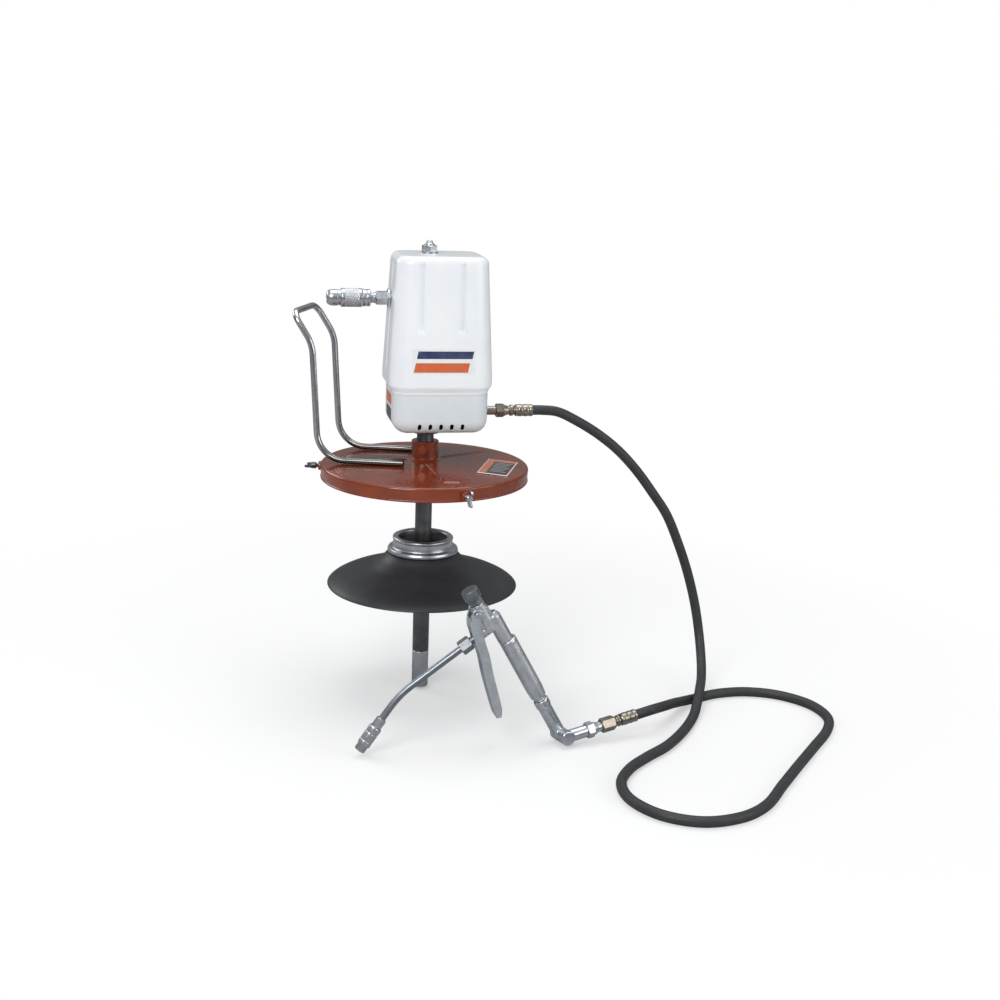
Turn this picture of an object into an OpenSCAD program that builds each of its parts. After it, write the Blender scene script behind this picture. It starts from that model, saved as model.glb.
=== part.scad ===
// Air-operated grease pump for a 16 kg (35 lb) pail, with cover, follower, hose and control valve.
// Millimetres, +Z up. The origin is the middle of the pail's rim, where the cover's gasket sits.
// -X is the air inlet, +X the grease outlet and -Y the front.

/* [Motor cover] */
// Width of the cover along X at its rim
cover_w = 154; // [130:1:190]
// Depth of the cover along Y at its rim
cover_d = 132; // [112:1:160]
// Width of the cover along X at its top
cover_top_w = 136; // [110:1:150]
// Depth of the cover along Y at its top
cover_top_d = 115; // [96:1:130]
// Height of the cover above its parting line
cover_h = 200; // [180:1:230]
// Radius of the cover's upright corners
cover_corner = 30; // [20:1:36]
// Wall of both cover halves
cover_wall = 2.6; // [1.6:0.1:4]
// Height of the parting line above the pail's rim
parting_z = 120; // [115:1:135]
// Offset of the covers from the pump's axis, which makes room for the air valve
cover_shift = 15; // [5:1:20]

/* [Lower housing] */
// Width of the lower housing along X
housing_w = 142; // [120:1:150]
// Depth of the lower housing along Y
housing_d = 124; // [100:1:130]
// Height of the lower housing
housing_h = 60; // [50:1:65]
// Radius of the lower housing's bottom edge
housing_edge = 20; // [10:1:24]
// Number of exhaust slots
slot_n = 5; // [3:1:7]
// Pitch of the exhaust slots
slot_pitch = 16; // [12:0.5:20]

/* [Air motor] */
// Bore of the air cylinder
air_bore = 66; // [50:1:76]
// Wall of the air cylinder
cylinder_wall = 3.5; // [2:0.5:6]
// Stroke of the piston
stroke = 76; // [40:1:80]
// Thickness of the piston
piston_h = 18; // [12:1:24]
// Diameter of the piston rod
rod_d = 12; // [8:1:16]

/* [Pump tube] */
// Outer diameter of the pump tube
tube_d = 25.4; // [22:0.2:30]
// Inner diameter of the pump tube
tube_bore = 19; // [15:0.5:20]
// Depth of the pump tube's lower end below the pail's rim
tube_depth = 296; // [240:1:340]
// Length of the foot valve
foot_h = 59; // [45:1:70]

/* [Pail cover] */
// Outer diameter of the pail cover
lid_d = 315; // [290:1:340]
// Sheet of the pail cover
lid_sheet = 1.6; // [1:0.1:3]
// Depth of the cover's skirt
skirt_h = 20; // [14:1:30]
// Outer diameter of the hub
hub_d = 41; // [36:0.5:50]
// Height of the hub's top above the pail's rim
hub_top = 40; // [30:1:44]
// Turn of the cover about the pump tube, seen from above
lid_turn = -17; // [-40:1:40]
// Thickness of the gasket under the cover
gasket_h = 2; // [1:0.5:5]

/* [Bail handle] */
// Diameter of the handle's rod
bail_rod = 9.5; // [7:0.5:12]
// Half the distance between the handle's two arms
bail_half = 52; // [40:1:62]
// Height of the handle's cross bar above the pail's rim
bail_top = 228; // [200:1:280]
// Distance from the pump's axis to the handle's cross bar
bail_reach = 192; // [180:1:205]

/* [Follower] */
// Outer diameter of the follower plate
follower_d = 293; // [270:1:300]
// Depth of the follower's rim below the pail's rim
follower_depth = 187; // [150:1:215]
// Height of the follower's bell
bell_h = 53; // [40:1:65]
// Wall of the follower's bell
bell_wall = 4; // [3:0.5:6]
// Outer diameter of the collar's neck
collar_d = 93; // [84:1:104]

/* [Hose] */
// Outer diameter of the hose
hose_d = 15; // [12:0.5:18]
// Bore of the hose
hose_bore = 6.4; // [5:0.1:8]
// Outer diameter of the hose ferrules
ferrule_d = 18.6; // [17:0.2:22]

/* [Control valve] */
// Lean of the grip from upright
grip_lean = 29.3; // [20:0.1:40]
// Length of the grip
grip_l = 103; // [90:1:115]
// Diameter of the grip at its upper end
grip_d = 25.4; // [23:0.2:28]
// Outer diameter of the extension pipe
pipe_d = 10; // [8:0.1:11]
// Length of the straight part of the extension pipe
pipe_l = 88; // [70:1:110]
// Length of the grease coupler
tip_l = 55; // [45:1:65]
// Diameter of the grease coupler
tip_d = 19; // [16:0.5:22]
// Depth of the valve body's block
body_t = 16; // [14:0.2:19]

/* [Hidden] */
$fn = 72;
overrun = 1;
// Clearances: running fits, free parts beside each other, parts that only touch
run_fit = 0.05;
free_gap = 0.3;
side_gap = 0.4;
hull_fn = 32;

// Motor cover
cover_top_z = parting_z + cover_h;
cover_edge = 12;
flute_w = 10;
flute_h = 73;
flute_depth = 2.6;
flute_pitch = 60;
flute_top = 14;
flute_share = 0.45;
side_flute_h = 166;
side_flute_w = 5;
ledge_h = 12;
ledge_out = (cover_w - housing_w) / 2;
stud_d = 10;
cap_nut_af = 21;
cap_nut_h = 10;
cap_nut_dome = 7;
cap_dome_d = 14;
washer_d = 27;
washer_h = 2;

// Lower housing
housing_z = parting_z - housing_h;
slot_w = 6;
slot_h = 9;
slot_up = 7;
slot_z = housing_z + slot_up;
slot_shift = -1;
neck_plate_d = 46;
neck_plate_h = 7;

// Motor base, cylinder and head, from the bottom up
base_z = 100;
base_h = 16;
base_w = 102;
base_d = 96;
base_corner = 14;
cylinder_z = base_z + base_h;
air_space = 4;
cylinder_h = stroke + piston_h + air_space;
head_z = cylinder_z + cylinder_h;
head_h = 14;
head_w = 92;
head_d = 88;
chest_z = head_z + head_h;
chest_h = 66;
chest_w = 96;
chest_d = 56;
chest_shift = 8;
chest_wall = 9;
air_way_l = 27;
cylinder_d = air_bore + 2 * cylinder_wall;
tie_d = 8;
tie_nut_af = 13;
tie_nut_h = 6;
tie_x = 37;
tie_y = 35;
piston_gap = 0.5;
ring_w = 5;
ring_depth = 3;
rod_step = 6;
inlet_z = 254;
trip_d = 6;
trip_guide = 10;
trip_head_d = 12;
trip_head_h = 3;
spool_d = 16;
spool_l = 44;
spool_travel = 8;
spool_down = 14;
spool_z = chest_z + chest_h - spool_down;
spool_land = 9;
spool_waist = 10;
felt_t = 8;
felt_h = 26;
felt_w = 84;

// Air inlet, measured out from the cover's left face
inlet_clear = 1.84;
inlet_half = cover_top_w / 2 + (cover_w - cover_top_w) / 2
    * (1 - (inlet_z - parting_z - ledge_h) / (cover_h - ledge_h));
inlet_out = cover_shift - inlet_half - inlet_clear;
inlet_pipe_d = 13;
inlet_bore = 8;
flange_t = 3;
flange_d = 28;
inlet_hex_af = 19;
inlet_hex_l = 17;
nipple_l = 40;
nipple_d = 12;
nipple_head_d = 15.6;
nipple_head_l = 8;
coupler_l = 64;
coupler_d = 24;
coupler_ring_d = 25.4;
coupler_ring_l = 12;
sleeve_d = 27.6;
sleeve_l = 31;
sleeve_travel = 5;
sleeve_wall = 2.4;
air_thread_d = 11.8;
air_thread_l = 12;

// Pump
outlet_z = 85;
outlet_body_d = 44;
outlet_body_z = 62;
outlet_arm_d = 26;
outlet_arm_end = 80;
grease_bore = 8;
packing_h = 12;
packing_d = 22;
tube_in = 14;
tube_z = outlet_body_z + tube_in;
plunger_d = tube_bore - 2 * run_fit;
plunger_h = 34;
plunger_z = -60;
plunger_ball_d = 9.5;
plunger_seat_d = 8;
plunger_waist_d = 15;
plunger_hole_d = 3;
plunger_hole_r = 6;
plunger_cage_h = 3;
primer_rod_d = 6;
primer_up = 7;
primer_z = primer_up - tube_depth - foot_h;
primer_d = tube_bore - 1;
primer_h = 4;
check_up = 38;
check_z = check_up - tube_depth;
check_h = 6;
check_seat_h = 8;
foot_z = -(tube_depth + foot_h);
foot_socket_d = 22;
check_bore = 12;
window_w = 9;
window_h = 14;
window_down = 14;
window_z = -tube_depth - window_down;
window_pitch = 20;

// Pail cover
lid_r = lid_d / 2;
lid_edge = 4;
lid_edge_cut = 1.2;
lid_top = gasket_h + lid_sheet;
crown_r = 145;
crown_rise = 6;
hub_foot_r = 28;
hub_fillet = 3.2;
hub_z = lid_top + crown_rise;
rib_rise = 2.4;
rib_in_w = 20;
rib_out_w = 42;
rib_in_r = 24;
rib_out_r = 128;
bead_r = 1.8;
rim_r = 148;
gasket_w = 11;
screw_turns = [180, -60, 60];
wing_turns = [90, 0, 90];
screw_down = 11;
screw_z = gasket_h - screw_down;
screw_d = 6;
screw_l = 24;
screw_in = 6;
weld_nut_d = 14;
weld_nut_t = 6;
wing_span = 24;
wing_t = 3;
wing_h = 13;
wing_shoulder_h = 8;
wing_hub_d = 10;
wing_hub_l = 8;
hub_screw_d = 8;
hub_screw_z = 30;
hub_screw_l = 12;
hub_screw_head_d = 12;
hub_screw_head_l = 7;
plate_w = 46;
plate_l = 92;
plate_t = 0.8;
plate_r = 113;
plate_turn = -5;

// Bail handle, in the cover's own turn: the handle points along -X there
bail_start = 18;
bail_bend = 42;
bail_knee = 60;
bail_turn = -6.5;
bail_foot_x = 152;
bail_knee_x = 162;
bail_knee_z = 182;
bail_corner = 18;
bail_seat = 0.2;

// Follower
follower_z = -follower_depth;
follower_r = follower_d / 2;
bell_top_r = 53;
bell_top = follower_z + bell_h;
bell_radii = [bell_top_r, 62, 80, 105, 125, 138, follower_r];
bell_drop_shares = [0, 0.22, 0.46, 0.61, 0.75, 0.88, 1];
bell_inner_share = 0.3;
lip_h = 3;
collar_r = collar_d / 2;
collar_wall = 9;
collar_flange_r = 54;
collar_flange_h = 7;
collar_up = 77;
collar_top = follower_z + collar_up;
collar_bead = 2.5;
collar_groove = 0.8;
collar_bead_low = 3.2;
collar_bead_high = 1.8;
wiper_t = 6;
wiper_drop = 8;

// Hose fittings at the pump, measured out along +X
outlet_neck_d = 13.5;
outlet_hex_x = 107;
outlet_hex_l = 12;
outlet_hex_af = 19;
outlet_cone_l = 9;
outlet_bead_l = 9;
outlet_bead_d = 17;
bead_share = 0.66;
ferrule_x = outlet_hex_x + outlet_hex_l + outlet_cone_l + outlet_bead_l;
ferrule_l = 27;
hose_start = [ferrule_x + ferrule_l, 0, outlet_z];
stem_d = 12;

// Place of the control valve: the centre of its swivel, its heading and the hose's heading and rise there
swivel_at = [170, -232, -347];
gun_heading = 3.6;
hose_heading = 15;
hose_rise = 8;
swivel_offset = 21;
hose_dir = [cos(hose_rise) * cos(hose_heading), cos(hose_rise) * sin(hose_heading), sin(hose_rise)];
grip_dir = [-sin(grip_lean) * cos(gun_heading), -sin(grip_lean) * sin(gun_heading), cos(grip_lean)];
cross_dir = unit(cross(hose_dir, grip_dir));
hose_joint = swivel_at + swivel_offset * cross_dir;
eye_d = 21;
eye_l = 20;
pivot_d = 12;
arm_d = 20;
arm_l = 50;
arm_collar_d = 22.5;
arm_collar_l = 10;
neck_d = 14.5;
neck_l = 69;
spigot_l = 12;
back_arm_d = 18;
back_arm_l = 33;
back_ring_af = 21;
back_ring_l = 11;
ring_nut_t = 4;
hex_reach = 58;
hex_l = 21;
gun_bead_l = 12;
gun_ferrule_l = 26;
hose_end = hose_joint + (hex_reach + hex_l + gun_bead_l + gun_ferrule_l) * hose_dir;

// Grip and valve body, in the frame of the grip: Z up the grip, -X towards the outlet
grip_z = neck_l;
grip_top = grip_z + grip_l;
grip_low_d = 23;
grip_bore = 8;
grip_line = 1.2;
casting_d = 22;
casting_x = -2;
casting_h = 42;
casting_top_d = 14;
barrel_x = -13.5;
barrel_d = 21;
barrel_up = 25;
barrel_h = 46;
barrel_z = grip_top + barrel_up;
barrel_top = barrel_z + barrel_h;
block_left = -25;
block_right = -1;
block_up = 34;
block_h = 32;
block_z = grip_top + block_up;
block_top = block_z + block_h;
lug_x = -20.5;
lug_up = 60;
lug_at = [lug_x, grip_top + lug_up];
lug_r = 7;
lever_pin_d = 5;
pin_head_d = 9;
pin_head_t = 2.5;
cap_h = 24;
cap_low_h = 9;
cap_af = 20;
cap_d = 25;
stem_bore_d = 6;
stem_up = 4.4;
stem_z = lug_at[1] + stem_up;
stem_travel = 1.5;
stem_head_d = 11;
stem_head_h = 4;
chamber_d = 14;
chamber_down = 4;
chamber_z = barrel_top - chamber_down;
chamber_h = 20;
spring_wire = 1.4;
spring_d = 8.5;
spring_turns = 5;
wire_sides = 8;
outlet_tilt = 6.5;
outlet_up = 29;
outlet_at = [barrel_x, grip_top + outlet_up];
drill_d = 4;
drill_lean = 8.5;
boss_l = 19;
boss_d = 16;
outlet_stub_d = 12;
gun_nut_start = 33;
gun_nut_l = 18;
gun_nut_af = 19;

// Lever
lever_t = 2.4;
lever_w = 14;
lever_gap = 0.4;
lever_path = [[0, 0], [-7, -8], [-11, -16], [-14, -30], [-17, -46], [-19, -58], [-22, -70], [-28, -90],
    [-33, -111], [-37, -128], [-41, -144], [-45, -154]];
lever_half_shares = [0.5, 0.52, 0.53, 0.52, 0.5, 0.49, 0.48, 0.48, 0.47, 0.46, 0.42, 0.26];
upper_web = [1, 2];
lower_web = [5, 11];
web_t = 2.8;
web_inset = 0.4;
lever_eye_r = 8;
tongue_t = 5;
tongue_reach = 10;
tongue_rise = 3.5;

// Extension pipe and coupler
pipe_start = 48;
pipe_bore = 5;
pipe_bend_r = 130;
pipe_bend = 19;
tip_nut_l = 14;
tip_nut_af = 13;
tip_neck_l = 20;
tip_nose_d = 16;
tip_nose_l = 10;
tip_bore_d = 10.4;
tip_bore_l = 20;
jaw_t = 1.2;
jaw_l = 12;
jaw_travel = 2;

// Route of the hose: its middle line, laid by hand from the pump to the control valve
route_points = [
    [205, 0, 82], [235, 1, 68], [270, 2, 47], [305, 3, 20], [337, 4, -13], [366, 5, -50],
    [392, 5, -87], [414, 5, -134], [433, 5, -183], [448, 2, -236], [455, -9, -284], [452, -36, -319],
    [441, -72, -334], [426, -110, -336], [410, -146, -345], [391, -184, -352], [358, -236, -352],
    [318, -284, -352], [278, -318, -352], [242, -353, -352], [217, -397, -352], [216, -448, -352],
    [243, -496, -352], [291, -522, -352], [346, -516, -352], [392, -486, -352], [437, -430, -352],
    [483, -373, -352], [529, -317, -352], [574, -261, -352], [596, -213, -352], [590, -160, -352],
    [556, -117, -352], [510, -97, -352], [462, -98, -352], [421, -113, -352], [390, -135, -347],
    [367, -160, -339], [343, -188, -331]];
hose_sides = 10;
hose_steps = 2;
rod_sides = 16;
bend_steps = 6;
route = concat(
    [hose_start, hose_start + [hose_d, 0, 0]],
    route_points,
    [hose_end + 2 * hose_d * hose_dir, hose_end + hose_d * hose_dir, hose_end]);

// Shared shapes and places

function unit(v) = v / norm(v);

// Children's Z runs along the given axis, and their X leans towards the given side
module facing(origin, axis, side) {
    z = unit(axis);
    y = unit(cross(z, side));
    x = cross(y, z);
    multmatrix([
        [x[0], y[0], z[0], origin[0]],
        [x[1], y[1], z[1], origin[1]],
        [x[2], y[2], z[2], origin[2]],
        [0, 0, 0, 1]]) children();
}

module pipe(d, bore, h) {
    difference() {
        cylinder(d = d, h = h);
        translate([0, 0, -overrun]) cylinder(d = bore, h = h + 2 * overrun);
    }
}

module hex(af, h) {
    cylinder(d = af / cos(30), h = h, $fn = 6);
}

module turned(outline) {
    rotate_extrude() polygon(outline);
}

module rounded_slab(w, d, r, h) {
    for (x = [-1, 1], y = [-1, 1]) translate([x * (w / 2 - r), y * (d / 2 - r), 0]) cylinder(r = r, h = h);
    translate([-w / 2 + r, -d / 2, 0]) cube([w - 2 * r, d, h]);
    translate([-w / 2, -d / 2 + r, 0]) cube([w, d - 2 * r, h]);
}

// Motor covers

module corners(w, d, r) {
    for (x = [-1, 1], y = [-1, 1]) translate([x * (w / 2 - r), y * (d / 2 - r), 0]) children();
}

// Widest a little above its lower edge, with a flare below and a long taper above
module cover_form(w, d, top_w, top_d, corner, edge, flare, h) {
    top_corner = corner - (w - top_w) / 4;
    hull() {
        corners(w - 2 * ledge_out, d - 2 * ledge_out, corner - ledge_out)
            cylinder(r = corner - ledge_out, h = overrun, $fn = hull_fn);
        translate([0, 0, flare]) corners(w, d, corner) cylinder(r = corner, h = edge, $fn = hull_fn);
        translate([0, 0, h - edge]) corners(top_w, top_d, top_corner) for (turn = [15:15:75])
            cylinder(r = top_corner - edge * (1 - cos(turn)), h = edge * sin(turn), $fn = hull_fn);
    }
}

module motor_cover() {
    inner = 2 * cover_wall;
    color("whitesmoke") translate([cover_shift, 0, parting_z]) difference() {
        cover_form(cover_w, cover_d, cover_top_w, cover_top_d, cover_corner, cover_edge, ledge_h, cover_h);
        translate([0, 0, -overrun])
            cover_form(cover_w - inner, cover_d - inner, cover_top_w - inner, cover_top_d - inner,
                cover_corner - cover_wall, cover_edge - cover_wall, ledge_h + overrun,
                cover_h - cover_wall + overrun);
        for (x = [-1, 1]) front_flute(x * flute_pitch / 2);
        side_flute();
        translate([-cover_shift, 0, 0]) cylinder(d = stud_d + 2 * side_gap, h = cover_h + overrun);
        translate([-cover_shift, 0, inlet_z - parting_z]) rotate([0, -90, 0])
            cylinder(d = inlet_pipe_d + 2 * side_gap, h = cover_w);
    }
}

// A shallow groove with one steep and one gentle flank, pressed into the front
module front_flute(x) {
    slope = atan((cover_d - cover_top_d) / 2 / (cover_h - ledge_h));
    translate([x, -cover_top_d / 2, cover_h - flute_top]) rotate([-slope, 0, 0])
        rotate([0, 180, 0]) linear_extrude(height = flute_h)
            polygon([[-flute_w * flute_share, -flute_depth], [flute_w, -flute_depth],
                [flute_w, -flute_depth / 4], [0, flute_depth * flute_share],
                [-flute_w * flute_share / 2, 0]]);
}

module side_flute() {
    slope = atan((cover_w - cover_top_w) / 2 / (cover_h - ledge_h));
    translate([-cover_top_w / 2, 0, cover_h - flute_top]) rotate([0, 180 + slope, 0])
        linear_extrude(height = side_flute_h)
            polygon([[side_flute_w, side_flute_w / 2], [side_flute_w, -side_flute_w / 2],
                [-flute_depth * flute_share, -side_flute_w / 4],
                [-flute_depth * flute_share, side_flute_w / 4]]);
}

module housing_form(w, d, corner, edge, h) {
    hull() {
        for (turn = [0:15:75]) translate([0, 0, edge * (1 - sin(turn))]) corners(w, d, corner)
            cylinder(r = corner - edge * (1 - cos(turn)), h = edge * sin(turn) + cover_wall, $fn = hull_fn);
        translate([0, 0, edge]) corners(w, d, corner) cylinder(r = corner, h = h - edge, $fn = hull_fn);
    }
}

module lower_housing() {
    inner = 2 * cover_wall;
    corner = cover_corner - ledge_out;
    color("gainsboro") translate([cover_shift, 0, housing_z]) difference() {
        housing_form(housing_w, housing_d, corner, housing_edge, housing_h);
        translate([0, 0, cover_wall])
            housing_form(housing_w - inner, housing_d - inner, corner - cover_wall,
                housing_edge - cover_wall, housing_h);
        for (i = [0:slot_n - 1])
            translate([slot_shift + (i - (slot_n - 1) / 2) * slot_pitch - slot_w / 2,
                -housing_d / 2 - overrun, slot_z - housing_z])
                cube([slot_w, housing_edge, slot_h]);
        translate([-cover_shift, 0, -overrun]) cylinder(d = outlet_body_d + 2 * side_gap, h = housing_h);
        translate([0, 0, outlet_z - housing_z]) rotate([0, 90, 0])
            cylinder(d = outlet_arm_d, h = housing_w);
    }
}

module centre_stud() {
    color("silver") translate([0, 0, chest_z + chest_h])
        cylinder(d = stud_d, h = cover_top_z - chest_z - chest_h + washer_h + cap_nut_h);
}

module cap_nut() {
    color("silver") translate([0, 0, cover_top_z]) difference() {
        union() {
            cylinder(d = washer_d, h = washer_h);
            translate([0, 0, washer_h]) hex(cap_nut_af, cap_nut_h);
            translate([0, 0, washer_h + cap_nut_h]) cylinder(d = cap_dome_d, h = cap_nut_dome);
        }
        translate([0, 0, -overrun]) cylinder(d = stud_d, h = washer_h + cap_nut_h + overrun);
    }
}

// Air motor

module tie_places() {
    for (x = [-1, 1], y = [-1, 1]) translate([x * tie_x, y * tie_y, 0]) children();
}

module motor_base() {
    color("darkgray") difference() {
        translate([0, 0, base_z]) rounded_slab(base_w, base_d, base_corner, base_h);
        translate([0, 0, base_z - overrun]) cylinder(d = packing_d, h = packing_h + side_gap + overrun);
        translate([0, 0, base_z - overrun]) cylinder(d = rod_d + 2 * run_fit, h = base_h + 2 * overrun);
        tie_places() translate([0, 0, base_z - overrun]) cylinder(d = tie_d, h = base_h + 2 * overrun);
    }
}

module air_cylinder() {
    color("silver") translate([0, 0, cylinder_z]) pipe(cylinder_d, air_bore, cylinder_h);
}

module cylinder_head() {
    color("darkgray") difference() {
        translate([0, 0, head_z]) rounded_slab(head_w, head_d, base_corner, head_h);
        translate([0, 0, head_z - overrun]) cylinder(d = trip_d + 2 * run_fit, h = head_h + 2 * overrun);
        translate([0, 0, head_z - overrun]) cylinder(d = rod_d + 2 * side_gap, h = rod_step + overrun);
        tie_places() translate([0, 0, head_z - overrun]) cylinder(d = tie_d, h = head_h + 2 * overrun);
    }
}

module valve_chest() {
    color("gray") difference() {
        translate([chest_shift - chest_w / 2, -chest_d / 2, chest_z]) cube([chest_w, chest_d, chest_h]);
        translate([0, 0, chest_z - overrun])
            cylinder(d = trip_head_d + 2 * side_gap, h = spool_z - spool_d / 2 - chest_z - trip_guide / 2);
        translate([chest_shift - chest_w / 2 - overrun, 0, spool_z]) rotate([0, 90, 0])
            cylinder(d = spool_d + 2 * run_fit, h = chest_w + 2 * overrun);
        translate([chest_shift - chest_w / 2 - overrun, 0, inlet_z]) rotate([0, 90, 0])
            cylinder(d = inlet_pipe_d, h = chest_wall + overrun);
        translate([chest_shift - chest_w / 2 + chest_wall, 0, inlet_z]) rotate([0, 90, 0])
            cylinder(d = inlet_bore, h = air_way_l);
    }
}

module tie_rods() {
    color("dimgray") tie_places() {
        translate([0, 0, base_z]) cylinder(d = tie_d, h = head_z + head_h - base_z);
        translate([0, 0, base_z - tie_nut_h]) hex(tie_nut_af, tie_nut_h);
        translate([0, 0, head_z + head_h]) hex(tie_nut_af, tie_nut_h);
    }
}

module air_piston() {
    color("lightsteelblue") translate([0, 0, cylinder_z + air_space / 2]) difference() {
        cylinder(d = air_bore - 2 * piston_gap, h = piston_h);
        translate([0, 0, (piston_h - ring_w) / 2]) pipe(air_bore, air_bore - 2 * ring_depth, ring_w);
        translate([0, 0, -overrun]) cylinder(d = rod_d, h = piston_h + 2 * overrun);
    }
}

module piston_ring() {
    color("black") translate([0, 0, cylinder_z + air_space / 2 + (piston_h - ring_w) / 2])
        pipe(air_bore - 2 * run_fit, air_bore - 2 * ring_depth, ring_w);
}

module piston_rod() {
    rod_low = plunger_z + plunger_h;
    color("silver") translate([0, 0, rod_low])
        cylinder(d = rod_d, h = cylinder_z + air_space / 2 + piston_h + rod_step - rod_low);
}

module trip_rod() {
    trip_low = cylinder_z + air_space / 2 + piston_h + rod_step + stroke + free_gap;
    color("silver") {
        translate([0, 0, trip_low]) cylinder(d = trip_d, h = chest_z + trip_guide - trip_low);
        translate([0, 0, chest_z + trip_guide]) cylinder(d = trip_head_d, h = trip_head_h);
    }
}

module valve_spool() {
    color("silver") translate([chest_shift - spool_travel / 2 - spool_l / 2, 0, spool_z]) rotate([0, 90, 0])
        difference() {
            cylinder(d = spool_d, h = spool_l);
            for (i = [0, 1]) translate([0, 0, spool_land + i * (spool_l - spool_land) / 2])
                pipe(spool_d + overrun, spool_waist, (spool_l - 3 * spool_land) / 2);
        }
}

module exhaust_felt() {
    felt_y = housing_d / 2 - cover_wall - felt_t - free_gap;
    color("tan") translate([cover_shift - felt_w / 2, -felt_y - felt_t, parting_z - felt_h])
        cube([felt_w, felt_t, felt_h]);
}

// Air inlet: local Z runs out along -X from the cover's left face

module inlet_place() {
    translate([inlet_out, 0, inlet_z]) rotate([0, -90, 0]) children();
}

module inlet_fitting() {
    color("silver") inlet_place() difference() {
        union() {
            cylinder(d = flange_d, h = flange_t);
            translate([0, 0, flange_t]) hex(inlet_hex_af, inlet_hex_l);
            translate([0, 0, -(-inlet_out + chest_shift - chest_w / 2 + chest_wall)])
                cylinder(d = inlet_pipe_d, h = -inlet_out + chest_shift - chest_w / 2 + chest_wall);
        }
        translate([0, 0, -cover_w / 2]) cylinder(d = inlet_bore, h = cover_w);
    }
}

module air_nipple() {
    color("silver") inlet_place() translate([0, 0, flange_t + inlet_hex_l]) difference() {
        union() {
            cylinder(d = nipple_head_d, h = nipple_head_l);
            cylinder(d = nipple_d, h = nipple_l);
        }
        translate([0, 0, -overrun]) cylinder(d = inlet_bore, h = nipple_l + 2 * overrun);
    }
}

module coupler_body() {
    nose_z = coupler_ring_l + sleeve_l + sleeve_travel + free_gap;
    color("lightgray") inlet_place() translate([0, 0, flange_t + inlet_hex_l + nipple_head_l + free_gap])
        difference() {
            union() {
                cylinder(d = coupler_ring_d, h = coupler_ring_l);
                cylinder(d = sleeve_d - 2 * sleeve_wall - 2 * run_fit, h = coupler_l);
                translate([0, 0, nose_z]) cylinder(d = coupler_d, h = coupler_l - nose_z);
            }
            translate([0, 0, -overrun])
                cylinder(d = nipple_d + 2 * run_fit, h = nipple_l - nipple_head_l + 2 * overrun);
            translate([0, 0, nipple_l - nipple_head_l]) cylinder(d = inlet_bore, h = coupler_l);
            translate([0, 0, coupler_l - air_thread_l])
                cylinder(d = air_thread_d, h = air_thread_l + overrun);
        }
}

module coupler_sleeve() {
    color("silver") inlet_place()
        translate([0, 0, flange_t + inlet_hex_l + nipple_head_l + coupler_ring_l + 2 * free_gap])
            pipe(sleeve_d, sleeve_d - 2 * sleeve_wall, sleeve_l);
}

// Pump

module outlet_body() {
    color("dimgray") difference() {
        union() {
            translate([0, 0, outlet_body_z]) cylinder(d = outlet_body_d, h = base_z - outlet_body_z);
            translate([0, 0, housing_z - neck_plate_h]) cylinder(d = neck_plate_d, h = neck_plate_h);
            translate([0, 0, housing_z]) cylinder(d = outlet_body_d, h = outlet_body_z - housing_z);
            translate([0, 0, outlet_z]) rotate([0, 90, 0])
                cylinder(d = outlet_arm_d - 2 * side_gap, h = outlet_arm_end);
        }
        translate([0, 0, housing_z - neck_plate_h - overrun])
            cylinder(d = tube_d, h = tube_z - housing_z + neck_plate_h + overrun);
        translate([0, 0, tube_z - overrun]) cylinder(d = tube_bore, h = outlet_z - tube_z + grease_bore);
        translate([0, 0, tube_z]) cylinder(d = rod_d + 2 * run_fit, h = base_z);
        translate([0, 0, outlet_z]) rotate([0, 90, 0])
            cylinder(d = grease_bore, h = outlet_arm_end + overrun);
        translate([outlet_arm_end, 0, outlet_z]) rotate([0, -90, 0]) translate([0, 0, -overrun])
            cylinder(d = outlet_neck_d, h = spigot_l + overrun);
    }
}

module rod_packing() {
    color("black") translate([0, 0, base_z]) pipe(packing_d, rod_d + 2 * run_fit, packing_h);
}

module pump_tube() {
    color("dimgray") translate([0, 0, -tube_depth]) difference() {
        pipe(tube_d, tube_bore, tube_depth + tube_z);
        translate([0, 0, -overrun]) cylinder(d = foot_socket_d, h = tube_depth + check_z + overrun);
    }
}

module plunger() {
    land_h = plunger_h / 2;
    seat_z = land_h - plunger_cage_h;
    rod_in = plunger_h / 4;
    color("silver") translate([0, 0, plunger_z]) difference() {
        union() {
            cylinder(d = plunger_d, h = land_h);
            cylinder(d = plunger_waist_d, h = plunger_h);
        }
        translate([0, 0, -overrun]) cylinder(d = primer_rod_d, h = rod_in + overrun);
        for (turn = [0, 120, 240]) rotate([0, 0, turn]) {
            translate([plunger_hole_r, 0, -overrun]) cylinder(d = plunger_hole_d, h = rod_in + 2 * overrun);
            translate([0, 0, land_h + plunger_hole_d]) rotate([0, 90, 0])
                cylinder(d = plunger_hole_d, h = tube_bore);
        }
        translate([0, 0, rod_in]) cylinder(d = 2 * plunger_hole_r + plunger_hole_d, h = 2 * overrun);
        translate([0, 0, rod_in]) cylinder(d = plunger_seat_d, h = seat_z - rod_in + overrun);
        translate([0, 0, seat_z])
            cylinder(d = plunger_ball_d + 2 * free_gap, h = plunger_ball_d + 2 * plunger_cage_h);
    }
}

module plunger_ball() {
    color("gainsboro")
        translate([0, 0, plunger_z + plunger_h / 2 - plunger_cage_h + plunger_ball_d / 2 + free_gap])
        sphere(d = plunger_ball_d);
}

module primer_rod() {
    color("silver") translate([0, 0, primer_z - primer_h])
        cylinder(d = primer_rod_d, h = plunger_z + plunger_h / 4 - primer_z + primer_h);
}

module primer_disc() {
    color("gray") translate([0, 0, primer_z]) pipe(primer_d, primer_rod_d, primer_h);
}

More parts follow.
